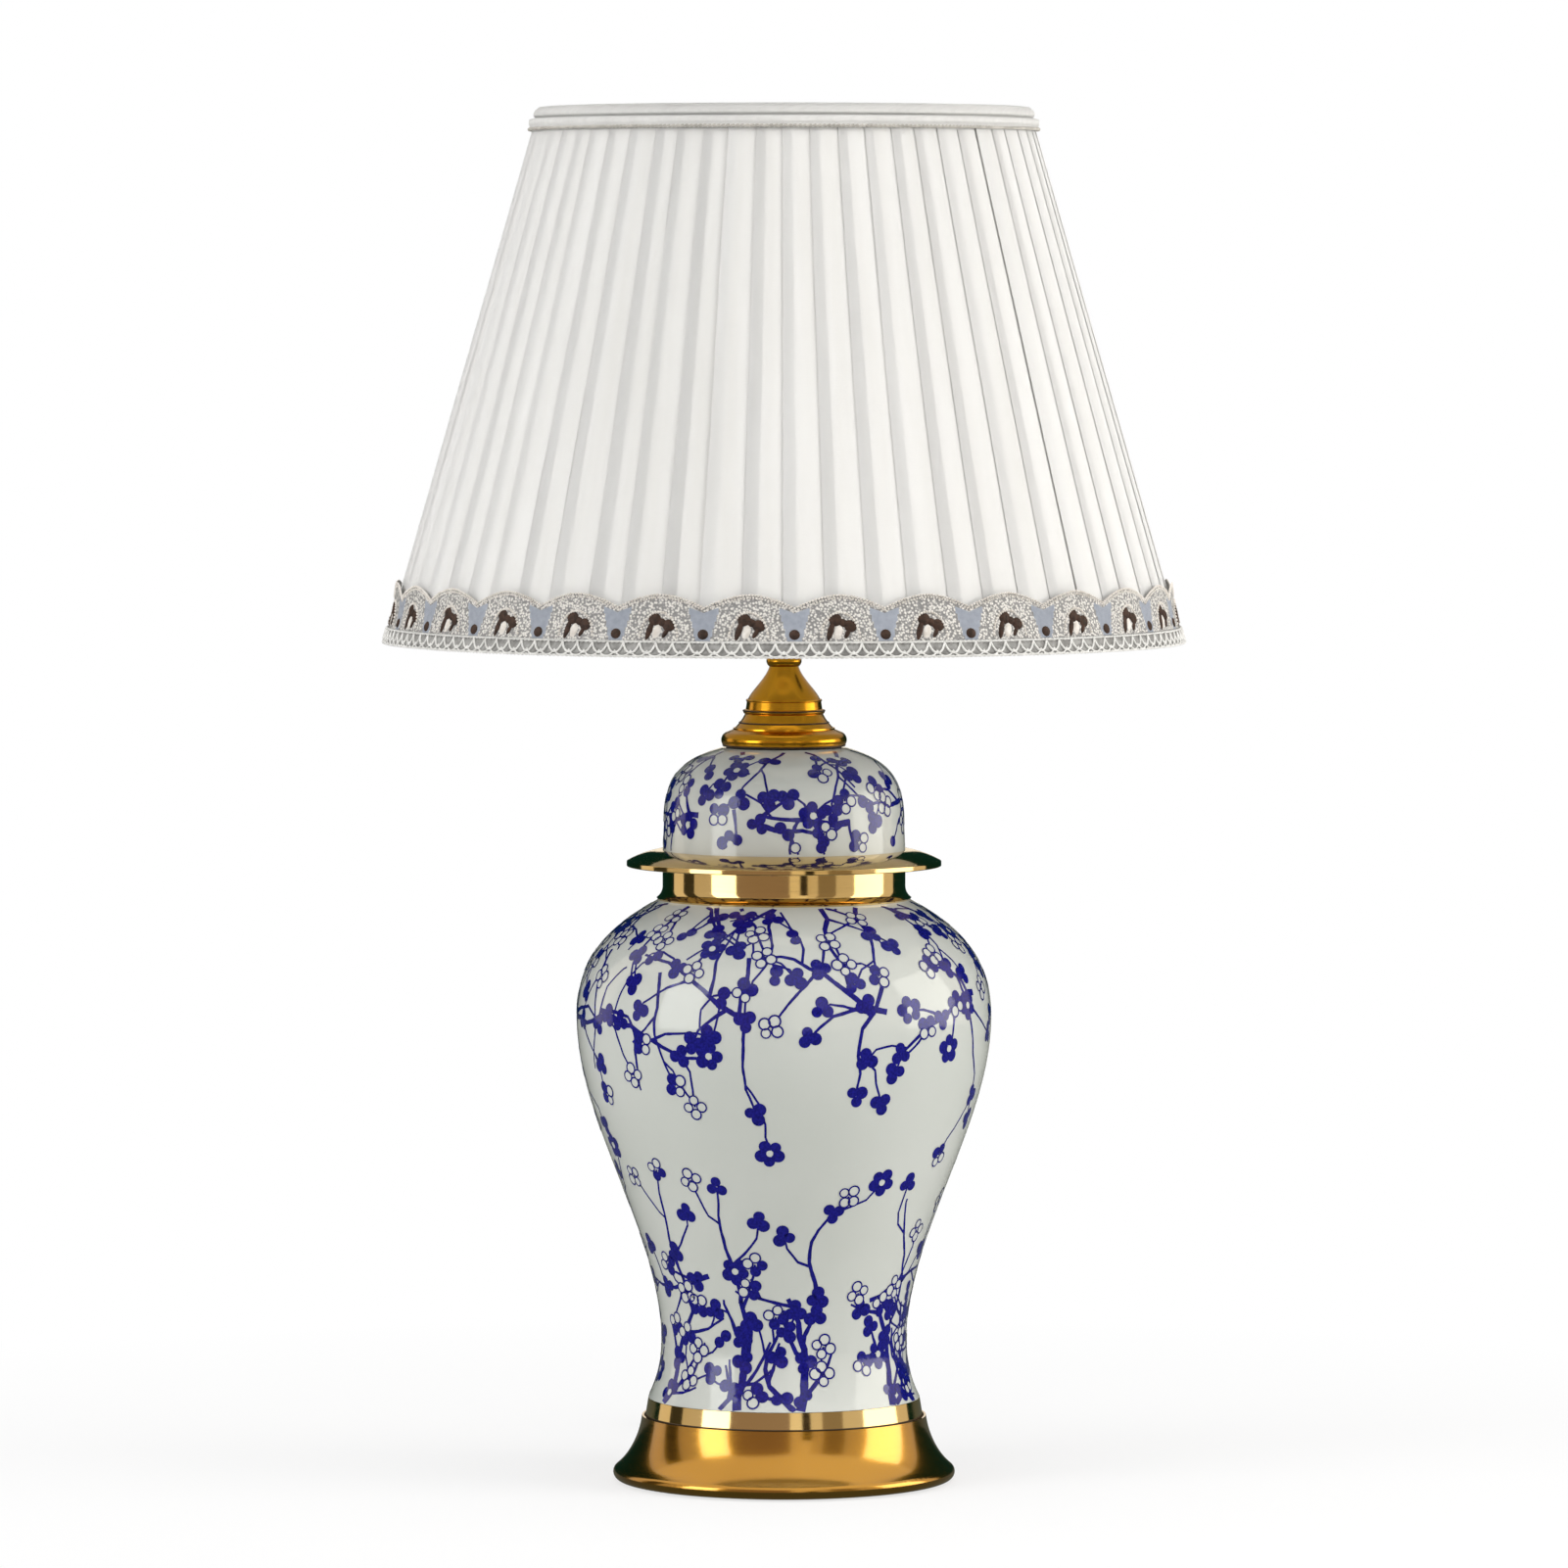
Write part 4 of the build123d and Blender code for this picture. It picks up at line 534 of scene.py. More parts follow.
class Painting:
    """Flat painted shapes on a turned surface: cobalt paint, and white inside outlined petals."""

    def __init__(self, node, low, high):
        self.surface = TurnedSurface(node)
        self.low = low
        self.high = high
        self.paint = MeshMaker()
        self.fill = MeshMaker()
        self.blossoms = []

    def inside(self, spot):
        return self.low < spot[1] < self.high

    def vertex(self, maker, spot, lift):
        height = min(max(spot[1], self.low), self.high)
        place, normal = self.surface.at(spot[0], height)
        return maker.point(place + normal * lift, (spot[0] / TURN, height))

    def circle(self, maker, spot, radius, lift):
        corners = []
        for angle in angles_round(PETAL_SIDES):
            rim = self.surface.beside(spot, radius * cos(angle), radius * sin(angle))
            corners.append(self.vertex(maker, rim, lift))
        return corners

    def disc(self, maker, spot, radius, lift):
        middle = self.vertex(maker, spot, lift)
        rim = self.circle(maker, spot, radius, lift)
        for here, there in zip(rim, rim[1:] + rim[:1]):
            maker.face((middle, here, there))

    def outlined_petal(self, spot, radius):
        self.disc(self.fill, spot, radius, FILL_LIFT)
        outer = self.circle(self.paint, spot, radius, LINE_LIFT)
        inner = self.circle(self.paint, spot, radius * LINE_SHARE, LINE_LIFT)
        self.paint.skin([outer, inner])

    def crowded(self, spot):
        """Tells whether a blossom stands close by, and otherwise remembers this one."""
        place, _ = self.surface.at(*spot)
        if any((place - other).length < BLOSSOM_ROOM for other in self.blossoms):
            return True
        self.blossoms.append(place)
        return False

    def blossom(self, spot, heading, rng):
        """A cluster of round petals at a place where a twig ends or forks."""
        if self.crowded(spot):
            return
        kind = rng.choices(list(BLOSSOMS), [often for often, _ in BLOSSOMS.values()])[0]
        count = BLOSSOMS[kind][1]
        ring_r = PETAL_SPREAD * PETAL_R / sin(pi / count)
        for petal in range(count):
            angle = heading + TURN * (petal + rng.uniform(-PETAL_SHIFT, PETAL_SHIFT)) / count
            centre = self.surface.beside(spot, ring_r * cos(angle), ring_r * sin(angle))
            size = PETAL_R * rng.uniform(*PETAL_SIZES)
            if not self.low + size < centre[1] < self.high - size:
                continue
            if kind == "outlined" or kind == "mixed" and petal % 4 < 2:
                self.outlined_petal(centre, size)
            else:
                self.disc(self.paint, centre, size, PETAL_LIFT)
        if kind == "open" and self.inside(spot):
            self.disc(self.fill, spot, PETAL_R * OPEN_HEART, LINE_LIFT)

    def branch(self, path):
        """A tapering stroke along a list of spots, headings and widths."""
        rows = []
        for spot, heading, width in path:
            row = []
            for side in (-0.5, 0.5):
                across = -side * width * sin(heading)
                up = side * width * cos(heading)
                edge = self.surface.beside(spot, across, up)
                row.append(self.vertex(self.paint, edge, PAINT_LIFT))
            rows.append(row)
        self.paint.skin(rows, closed=False)

    def stroke(self, rng, spot, heading, length, width, pull):
        """A kinked branch of straight runs that thins out, and its list of places."""
        steps = max(LEAST_STEPS, round(length / BRANCH_STEP))
        path = [(spot, heading, width)]
        kink = rng.randint(*FIRST_RUN)
        for step in range(1, steps + 1):
            if step == kink:
                heading += rng.uniform(-KINK, KINK) + PULL * sin(pull - heading)
                kink += rng.randint(*NEXT_RUNS)
            heading += rng.uniform(-DRIFT, DRIFT)
            across = BRANCH_STEP * cos(heading)
            spot = self.surface.beside(spot, across, BRANCH_STEP * sin(heading))
            if not self.inside(spot):
                break
            brush = 1 + rng.uniform(-1, 1) * min(BRUSH_MOST, BRUSH / width)
            path.append((spot, heading, max(width * (1 - TAPER * step / steps) * brush, THINNEST)))
        self.branch(path)
        return path

    def spray(self, rng, spot, heading, length, width, pull, twigs, flowers, order=0):
        """A branch with twigs to both sides, and blossoms at its tips and some of its forks."""
        path = self.stroke(rng, spot, heading, length, width, pull[0])
        side = rng.choice((-1, 1))
        for twig in range(twigs):
            share = (twig + rng.uniform(*TWIG_PLACES)) / (twigs + TWIG_ROOM)
            place, turn, thick = path[min(int(share * len(path)), len(path) - 1)]
            side = -side
            lean = turn + side * rng.uniform(*TWIG_LEANS)
            reach = length * rng.uniform(*TWIG_LENGTHS)
            thin = min(thick * TWIG_WIDTH, TWIG_MAX)
            self.spray(rng, place, lean, reach, thin, (pull[1], pull[1]), order, flowers)
            if rng.random() < flowers:
                self.blossom(place, lean, rng)
        tip, turn, _ = path[-1]
        if self.inside(tip):
            self.blossom(tip, turn, rng)

    def build(self, name, body):
        self.paint.build(name + "_branches", body, "glazed_jar", "cobalt_glaze")
        self.fill.build(name + "_petal_fill", body, "glazed_jar", "white_glaze")


DOWN = radians(-90)
UP = radians(90)
SIDEWAYS = (0.0, pi)
JAR_SEED = 25
LID_SEED = 33


def paint_round(painting, rng, count, heights, headings, lengths, widths, pull, twigs, flowers, order=0):
    """Repeats a kind of spray round a piece, each one a little different.

    Heights, lengths and widths are from and to, in millimetres. A branch and its twigs bend towards pull, or
    keep the branch's heading. Flowers is the share of forks that blossom, order the twigs on each twig.
    """
    start = rng.random()
    for root in range(count):
        angle = TURN * (root + start + rng.uniform(-ROOT_SHIFT, ROOT_SHIFT)) / count
        spot = (angle, rng.uniform(*heights) * MM)
        heading = rng.choice(headings) + rng.uniform(-HEADING_SHIFT, HEADING_SHIFT)
        along = heading if pull[0] is None else pull[0]
        length = rng.uniform(*lengths) * MM
        width = rng.uniform(*widths) * MM
        painting.spray(rng, spot, heading, length, width, (along, pull[1]), twigs, flowers, order)


def paint_jar():
    """Branches that hang from the shoulder and rise from the foot, right round the jar."""
    rng = random.Random(JAR_SEED)
    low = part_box("foot_band")[1].z + 0.3 * MM
    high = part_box("neck_collar")[0].z - 0.5 * MM
    painting = Painting("jar", low, high)
    top = (high / MM - 0.4, high / MM - 0.1)
    foot = (low / MM + 0.1, low / MM + 0.4)
    for sprays in (
        (22, top, (DOWN - 0.5, DOWN + 0.5), (36, 62), (2.0, 2.8), (DOWN, DOWN), 3, 0.8),
        (12, top, (DOWN - 0.9, DOWN + 0.9), (30, 48), (1.8, 2.4), (DOWN, DOWN), 3, 0.8),
        (9, (228, 242), SIDEWAYS, (60, 84), (2.8, 3.4), (None, DOWN), 5, 0.9),
        (12, (244, 262), (DOWN,), (50, 90), (2.0, 2.5), (DOWN, DOWN), 2, 0.3),
        (10, foot, (UP - 0.3, UP + 0.3), (46, 66), (4.0, 5.4), (UP, UP), 4, 0.8, 1),
        (11, foot, (UP - 0.8, UP + 0.8), (30, 50), (2.2, 3.2), (UP, UP), 3, 0.8),
        (7, (92, 116), SIDEWAYS, (44, 62), (2.4, 2.9), (None, UP), 4, 0.8),
        (10, (84, 110), (UP,), (50, 78), (2.0, 2.5), (UP, UP), 2, 0.3),
    ):
        paint_round(painting, rng, *sprays)
    painting.build("jar", "lamp")


def paint_lid():
    """Branches that hang from under the cap, and limbs across the lid's side."""
    rng = random.Random(LID_SEED)
    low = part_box("lid_saucer")[1].z + 0.5 * MM
    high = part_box("lid")[1].z - 0.4 * MM
    painting = Painting("lid", low, high)
    top = (high / MM - 0.8, high / MM - 0.4)
    for sprays in (
        (13, top, (DOWN - 0.5, DOWN + 0.5), (28, 50), (1.8, 2.4), (DOWN, DOWN), 3, 0.7),
        (8, (318, 332), SIDEWAYS, (32, 44), (2.8, 3.4), (None, DOWN), 4, 0.9),
        (6, (322, 336), (DOWN,), (14, 20), (1.6, 2.0), (DOWN, DOWN), 1, 0.6),
    ):
        paint_round(painting, rng, *sprays)
    painting.build("lid", "lamp")


# Dark lines in the turned brass

# Thin dark lines drawn where brass pieces and the cap's tiers meet
SEAM_LINE_R = 0.45 * MM
SEAM_LINE_STEPS = 96
SEAM_LINE_SIDES = 6
# Heights above the bottom of the cap where its tiers meet
CAP_SEAMS = (0.3, 11.2, 17.0)


def build_seam_lines():
    """Thin dark rings where turned pieces and tiers meet."""
    foot_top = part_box("base_foot")[1].z
    cap_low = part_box("vase_cap")[0].z
    seams = [("foot_band", foot_top + SEAM_LINE_R / 2)]
    seams += [("vase_cap", cap_low + seam * MM) for seam in CAP_SEAMS]
    maker = MeshMaker()
    for node, height in seams:
        place, _ = TurnedSurface(node).at(FRONT, height)
        radius = hypot(place.x, place.y)
        path = [round_axis(angle, radius, height) for angle in angles_round(SEAM_LINE_STEPS)]
        add_ring_tube(maker, path, SEAM_LINE_R, SEAM_LINE_SIDES)
    maker.build("brass_seam_lines", "lamp", "antique_brass", "dark_seam_line")


# Shade

cover_low, cover_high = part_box("pleated_cover")
cone_low_r = radius_at("pleated_cover", cover_low.z)
cone_high_r = radius_at("pleated_cover", cover_high.z)
cone_slope = (cone_high_r - cone_low_r) / (cover_high.z - cover_low.z)

RIBS = 6
RIB_START = radians(258)
PLEATS = 60
PLEAT_RISE = 0.45 * MM
RIB_RISE = 1.2 * MM
PLEAT_ROWS = 30
COVER_SEED = 3
PLEAT_SHIFT = 0.09
RISE_SPREAD = (0.7, 1.3)
FOLD_SOFT = 0.12
FOLD_SCALE = (3.7, 1.5, 16)
FOLD_START = 4
SWAY = 0.0006
SWAY_SCALE = (1.9, 4.0, 9)
TUCK = 0.32
# Cloth of one pleat: place along the pitch, and depth below the folds as a share of the rise
PLEAT_SECTION = (
    (0.000, 0.00), (0.030, 0.02), (0.150, 0.06), (0.350, 0.14), (0.550, 0.24), (0.750, 0.36), (0.870, 0.48),
    (0.940, 0.68), (1.000, 0.90), (1.000 + TUCK, 1.20), (1.012 + TUCK, 1.08), (1.000 + TUCK, 0.94),
    (1.060, 0.55), (0.996, 0.34), (0.984, 0.18),
)


def cone_r(height):
    """Radius over the pleat folds at a height."""
    return cone_low_r + (height - cover_low.z) * cone_slope


def build_cover():
    """Knife pleats that stand a little unevenly, each tucked under the next."""
    rng = random.Random(COVER_SEED)
    pitch = TURN / PLEATS
    starts = [pitch * (pleat + rng.uniform(-PLEAT_SHIFT, PLEAT_SHIFT)) for pleat in range(PLEATS)]
    rises = [PLEAT_RISE * rng.uniform(*RISE_SPREAD) for _ in range(PLEATS)]
    for rib in range(RIBS):
        rises[round((RIB_START + TURN * rib / RIBS) % TURN / pitch) - 1] = RIB_RISE
    middle_r = (cone_low_r + cone_high_r) / 2
    maker = MeshMaker()
    rows = []
    for row in range(PLEAT_ROWS + 1):
        height = cover_low.z + (cover_high.z - cover_low.z) * row / PLEAT_ROWS
        radius = cone_r(height)
        line = []
        for pleat in range(PLEATS):
            width = starts[(pleat + 1) % PLEATS] - starts[pleat]
            width += TURN if width < 0 else 0.0
            for along, depth in PLEAT_SECTION:
                angle = starts[pleat] + along * width
                soft = FOLD_SOFT * scaled_noise((pleat, along, height), FOLD_SCALE)
                sunk = rises[pleat] * max(depth + soft * min(1.0, FOLD_START * along), 0.0)
                sway = SWAY * scaled_noise((pleat, 1.0, height), SWAY_SCALE)
                fold = round_axis(angle + sway / radius, radius - sunk, height)
                line.append(maker.point(fold, (angle * middle_r, height)))
        rows.append(line)
    maker.skin(rows)
    cover = maker.build("cloth_cover", "shade", "pleated_cloth", "pleated_cloth")
    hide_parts("pleated_cover")


LINING_COLUMNS = 180
LINING_ROWS = 16
LINING_INSET = 0.4 * MM
LINING_SLACK = 0.5
WRINKLE = 0.2
WRINKLE_WAVES = 12
WRINKLE_SCALE = 30


def build_lining():
    """Cloth stretched over the ribs, a little slack between them."""
    low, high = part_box("shade_lining")
    low_r = radius_at("shade_lining", low.z) - LINING_INSET
    high_r = radius_at("shade_lining", high.z) - LINING_INSET
    maker = MeshMaker()
    rows = []
    for row in range(LINING_ROWS + 1):
        share = row / LINING_ROWS
        height = low.z + (high.z - low.z) * share
        line = []
        for angle in angles_round(LINING_COLUMNS):
            slack = 0.5 - 0.5 * cos(RIBS * (angle - RIB_START))
            wrinkle = round_noise(angle, WRINKLE_WAVES, height * WRINKLE_SCALE)
            radius = low_r + (high_r - low_r) * share - (LINING_SLACK * slack + WRINKLE * wrinkle) * MM
            line.append(maker.point(round_axis(angle, radius, height), (angle * low_r, height)))
        rows.append(line)
    maker.skin(rows)
    lining = maker.build("cloth_lining", "shade", "lining_cloth", "lining_cloth")
    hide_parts("shade_lining")


TRIM_COLUMNS = 240
# The tape outside the pleats at its lower edge and at the top, and inside the top wire
TAPE_LOW = 1.4 * MM
TAPE_HIGH = 1.2 * MM
TAPE_INSIDE = 8.2 * MM
TAPE_SOFT = 0.2 * MM
TAPE_WAVES = 20
TAPE_SCALE = 150
TWIST_IN = 0.1 * MM
TWIST_UP = 0.6 * MM
# Twisted cords under the tape and at the braid's edges: swing, waves, thread's radius and sides
TAPE_TWIST = (0.45 * MM, 170, 0.42 * MM, 5)
EDGE_TWIST = (0.3 * MM, 260, 0.34 * MM, 4)
WAVE_STEPS = 8


def build_top_trim():
    """Folded tape over the top wire: two rolled ridges outside and a plain turn inside."""
    low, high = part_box("top_trim")
    outer_low = cone_r(low.z) + TAPE_LOW
    outer_high = cone_high_r + TAPE_HIGH
    inner_r = cone_high_r - TAPE_INSIDE
    # Radius and edge to start from, and the tape's places out and up from there in millimetres
    runs = (
        (outer_low, low.z, ((-1.1, 0), (-0.2, 0.2), (0, 1.0), (-0.3, 1.9))),
        (outer_low, low.z, ((0.1, 2.9), (0.2, 4.2), (-0.2, 5.4))),
        (outer_high, low.z, ((-0.7, 6.0), (0.3, 6.8), (0.4, 8.2), (-0.4, 9.8))),
        (outer_high, high.z, ((-2.2, -0.3), (-4.8, 0))),
        (inner_r, high.z, ((1.6, -1.0), (0, -3.2), (0.4, -7.0))),
        (inner_r, low.z, ((1.6, 1.2),)),
    )
    section = [(radius + out * MM, edge + up * MM) for radius, edge, places in runs for out, up in places]
    maker = MeshMaker()
    rows = []
    run = 0.0
    before = section[0]
    for radius, height in section:
        run += dist((radius, height), before)
        before = (radius, height)
        line = []
        for angle in angles_round(TRIM_COLUMNS):
            soft = TAPE_SOFT * round_noise(angle, TAPE_WAVES, run * TAPE_SCALE)
            line.append(maker.point(round_axis(angle, radius + soft, height), (angle * radius, run)))
        rows.append(line)
    maker.skin(rows)
    tape = maker.build("top_tape", "shade", "tape_cloth", "tape_cloth")
    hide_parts("top_trim")
    twist = MeshMaker()
    add_twist(twist, outer_low - TWIST_IN, low.z + TWIST_UP, *TAPE_TWIST)
    braid = twist.build("top_braid", "shade", "gimp_cloth", "braid_thread")


def add_twist(maker, radius, height, swing, waves, thread_r, sides):
    """Two strands twisted together round the lamp's axis."""
    for start in (0.0, pi):
        path = []
        for angle in angles_round(waves * WAVE_STEPS):
            phase = start + waves * angle
            out = radius + swing * cos(phase)
            path.append(round_axis(angle, out, height + swing * sin(phase)))
        add_ring_tube(maker, path, thread_r, sides)


LACE_REPEATS = 28
LACE_START = radians(277.9)
LACE_COLUMNS = 48
LACE_ROWS = 18
LACE_PATCH = 3.4 * MM
PATCH_SPREAD = 0.28
PATCH_RIM = 2.8 * MM
# Stitched patches of one arch: place, half width and half height in millimetres, and tilt
LACE_ARCH = (
    (-4.6, 4.8, 1.5, 4.8, -0.30),
    (-2.2, 9.8, 3.2, 3.0, 0.0),
    (1.4, 8.4, 2.2, 1.9, -0.4),
    (4.8, 7.0, 3.2, 2.8, -0.3),
    (3.4, 3.6, 1.1, 2.7, -0.55),
)
LACE_DOT = (0.0, 3.0, 2.6, 2.4, 0.0)
LACE_DROP = (-1.0, 4.2, 2.0, 3.4, -0.3)
ARCH_LIFT = 0.4 * MM
DOT_LIFT = 0.35 * MM
DROP_LIFT = 0.2 * MM
STITCH_SIDES = 12
STITCH_TOP = 0.35 * MM
STITCH_SHOULDER = (0.7, 0.25 * MM)
STITCH_EDGE = 0.05 * MM
BEAD_SIDES = 6
BEAD_CROWN = (0.6, 0.7)
BEAD_LIFT = 0.1 * MM
HALO = (9.2 * MM, 12.0 * MM)
HALO_LOW = 1.2 * MM
HALO_BEADS = 22
HALO_BEAD_R = 0.75 * MM
RIM_BEADS = 30
RIM_SHIFT = 0.002
# Rows of beads along the rim: how far below the edge, and radius, in millimetres
RIM_ROWS = ((0.2, 0.66), (1.5, 0.55))
LACE_DIP = 6.0 * MM
DIP_POWER = 1.7
LACE_FLARE = 3.0 * MM
FLARE_POWER = 1.8
RUFFLE = (0.75, 0.5)
RUFFLE_WAVES = 9
LACE_GAP = 0.8 * MM

lace_low, lace_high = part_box("lace_band")


def lace_top(angle):
    """Height of the scalloped edge."""
    place = (angle - LACE_START) * LACE_REPEATS / TURN
    off = abs(place - round(place)) * 2
    return lace_high.z - LACE_DIP * off**DIP_POWER


def on_lace(angle, height, lift):
    """A point on the face of the lace, lifted off it."""
    share = (height - lace_low.z) / (lace_high.z - lace_low.z)
    ruffle = RUFFLE[0] + RUFFLE[1] * round_noise(angle, RUFFLE_WAVES, 2.0)
    stand = LACE_GAP + LACE_FLARE * ruffle * max(share, 0.0) ** FLARE_POWER
    return round_axis(angle, cone_r(height) + stand + lift, height)


def add_stitch(maker, lobe, patch, lift):
    """A low domed patch of stitching, placed from the middle of a lobe's lower edge."""
    aside, rise, wide, tall, tilt = patch
    angle = lobe + aside * MM / cone_low_r
    height = lace_low.z + rise * MM
    rings = ((STITCH_SHOULDER[0], lift + STITCH_SHOULDER[1], []), (1.0, STITCH_EDGE, []))
    middle = maker.point(on_lace(angle, height, lift + STITCH_TOP))
    for turn in angles_round(STITCH_SIDES):
        long, high = wide * MM * cos(turn), tall * MM * sin(turn)
        across = long * cos(tilt) - high * sin(tilt)
        up = long * sin(tilt) + high * cos(tilt)
        for share, stand, ring in rings:
            around = angle + share * across / cone_low_r
            ring.append(maker.point(on_lace(around, height + share * up, stand)))
    inner, outer = rings[0][2], rings[1][2]
    for here, there in zip(inner, inner[1:] + inner[:1]):
        maker.face((middle, here, there))
    maker.skin([outer, inner])


def add_bead(maker, place, outward, bead_r):
    """A small round bead that faces outwards."""
    across = Vector((-outward.y, outward.x, 0))
    up = Vector((0, 0, 1))
    rim = []
    crown = []
    for turn in angles_round(BEAD_SIDES):
        aside = across * cos(turn) + up * sin(turn)
        rim.append(maker.point(place + bead_r * aside))
        crown.append(maker.point(place + bead_r * (BEAD_CROWN[0] * aside + BEAD_CROWN[1] * outward)))
    top = maker.point(place + bead_r * outward)
    maker.skin([rim, crown])
    for here, there in zip(crown, crown[1:] + crown[:1]):
        maker.face((here, there, top))


def on_patch(angle, height):
    """Tells whether a place on the lace is on one of the plain patches between its lobes."""
    place = (angle - LACE_START) * LACE_REPEATS / TURN + 0.5
    aside = (place - round(place)) * TURN / LACE_REPEATS * cone_low_r
    up = height - lace_low.z
    return abs(aside) < LACE_PATCH + PATCH_SPREAD * up and height < lace_top(angle) - PATCH_RIM


def build_lace():
    """Scalloped edging: beaded lobes with a brown arch in each, and a plain patch with a dot between."""
    maker = MeshMaker()
    rows = []
    for row in range(LACE_ROWS + 1):
        line = []
        for turn in angles_round(LACE_REPEATS * LACE_COLUMNS):
            angle = LACE_START + turn
            height = lace_low.z + (lace_top(angle) - lace_low.z) * row / LACE_ROWS
            line.append(maker.point(on_lace(angle, height, 0.0), (angle * cone_low_r, height)))
        rows.append(line)
    maker.skin(rows)
    for face, corners in enumerate(maker.faces):
        middle = sum((Vector(maker.points[corner]) for corner in corners), Vector()) / len(corners)
        maker.slots[face] = int(on_patch(atan2(middle.y, middle.x), middle.z))
    lace = maker.build("lace_edging", "shade", "lace_cloth", "lace_beads", "lace_ground")
    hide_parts("lace_band")

    stitch = MeshMaker()
    beads = MeshMaker()
    pitch = TURN / LACE_REPEATS
    for repeat in range(LACE_REPEATS):
        lobe = LACE_START + pitch * repeat
        add_stitch(stitch, lobe + pitch / 2, LACE_DOT, DOT_LIFT)
        add_stitch(beads, lobe, LACE_DROP, DROP_LIFT)
        for patch in LACE_ARCH:
            add_stitch(stitch, lobe, patch, ARCH_LIFT)
        for bead in range(HALO_BEADS):
            turn = pi * (bead + 0.5) / HALO_BEADS
            angle = lobe + HALO[0] * cos(turn) / cone_low_r
            height = lace_low.z + HALO_LOW + HALO[1] * sin(turn)
            add_bead(beads, on_lace(angle, height, BEAD_LIFT), round_axis(angle, 1.0, 0.0), HALO_BEAD_R)
    motifs = stitch.build("lace_motifs", "shade", "lace_cloth", "lace_brown")

    for turn in angles_round(LACE_REPEATS * RIM_BEADS):
        angle = LACE_START + turn
        outward = round_axis(angle, 1.0, 0.0)
        for drop, size in RIM_ROWS:
            place = on_lace(angle + drop * RIM_SHIFT, lace_top(angle) - drop * MM, BEAD_LIFT)
            add_bead(beads, place, outward, size * MM)
    rim = beads.build("lace_rim_beads", "shade", "lace_cloth", "lace_ivory")


GIMP_CELLS = 150
GIMP_STEPS = 14
PINCH = 0.13
# The ground: share of the height, and lift off the cover in millimetres
GIMP_SECTION = ((0.02, 0.3), (0.06, 1.0), (0.5, 1.2), (0.94, 1.0), (0.98, 0.3))
# Looped threads: low and high share of the height, lift and radius in millimetres, and start
GIMP_LOOPS = ((0.26, 0.88, 1.5, 0.56, 0.0), (0.06, 0.40, 1.4, 0.44, 0.5))
LOOP_SIDES = 5
# Twisted edges: shares of the height
EDGES = (0.04, 0.95)
EDGE_LIFT = 1.3 * MM

gimp_low, gimp_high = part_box("gimp_braid")


def gimp_loop(low, high, lift, start):
    """A thread that swings down and up in wide loops, pinched at their tops."""
    path = []
    for step in range(GIMP_CELLS * GIMP_STEPS):
        cell = step / GIMP_STEPS
        angle = TURN * (cell + start - PINCH * sin(TURN * cell)) / GIMP_CELLS
        height = high - (high - low) * (0.5 - 0.5 * cos(TURN * cell))
        path.append(round_axis(angle, cone_r(height) + lift, height))
    return path


def build_gimp():
    """Braid along the hem: a ground, two rows of looped thread and a cord at each edge."""
    maker = MeshMaker()
    tall = gimp_high.z - gimp_low.z
    rows = []
    for share, lift in GIMP_SECTION:
        height = gimp_low.z + tall * share
        radius = cone_r(height) + lift * MM
        line = []
        for angle in angles_round(TRIM_COLUMNS):
            line.append(maker.point(round_axis(angle, radius, height), (angle * cone_low_r, height)))
        rows.append(line)
    maker.skin(rows)
    ground = maker.build("gimp_ground", "shade", "gimp_cloth", "gimp_ground")
    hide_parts("gimp_braid")

    threads = MeshMaker()
    for low, high, lift, thread_r, start in GIMP_LOOPS:
        loop = gimp_loop(gimp_low.z + low * tall, gimp_low.z + high * tall, lift * MM, start)
        add_ring_tube(threads, loop, thread_r * MM, LOOP_SIDES)
    for share in EDGES:
        height = gimp_low.z + share * tall
        add_twist(threads, cone_r(height) + EDGE_LIFT, height, *EDGE_TWIST)
    threads.build("gimp_threads", "shade", "gimp_cloth", "gimp_thread")


# Floor, world and light

FLOOR_SIZE = 30.0
PAGE_WHITE = (1.0, 1.0, 1.0)
WORLD_LIGHT = (0.36, 0.36, 0.36)
WORLD_MIRRORED = (1.0, 0.92, 0.76)
FLOOR_MIRRORED = (0.10, 0.11, 0.09)
FLOOR_GREY = (0.9, 0.9, 0.9)
FLOOR_ROUGH = 0.9
# Metres from the lamp over which the floor turns white, and how white it is there
FLOOR_FADE = {"From Min": 0.1, "From Max": 0.7, "To Min": 0.7, "To Max": 1.0}


def seen_rays(tree):
    """Two values that are one for rays from the eye or through glass, and for reflections."""
    light_path = add_node(tree, "ShaderNodeLightPath")
    seen = add_node(tree, "ShaderNodeMath", operation="MAXIMUM")
    tree.links.new(light_path.outputs["Is Camera Ray"], seen.inputs[0])
    tree.links.new(light_path.outputs["Is Transmission Ray"], seen.inputs[1])
    return seen.outputs["Value"], light_path.outputs["Is Glossy Ray"]


def mix_shaders(tree, share, first, second):
    """A shader between two others."""
    mix = add_node(tree, "ShaderNodeMixShader")
    tree.links.new(share, mix.inputs["Fac"])
    tree.links.new(first, mix.inputs[1])
    tree.links.new(second, mix.inputs[2])
    return mix.outputs["Shader"]


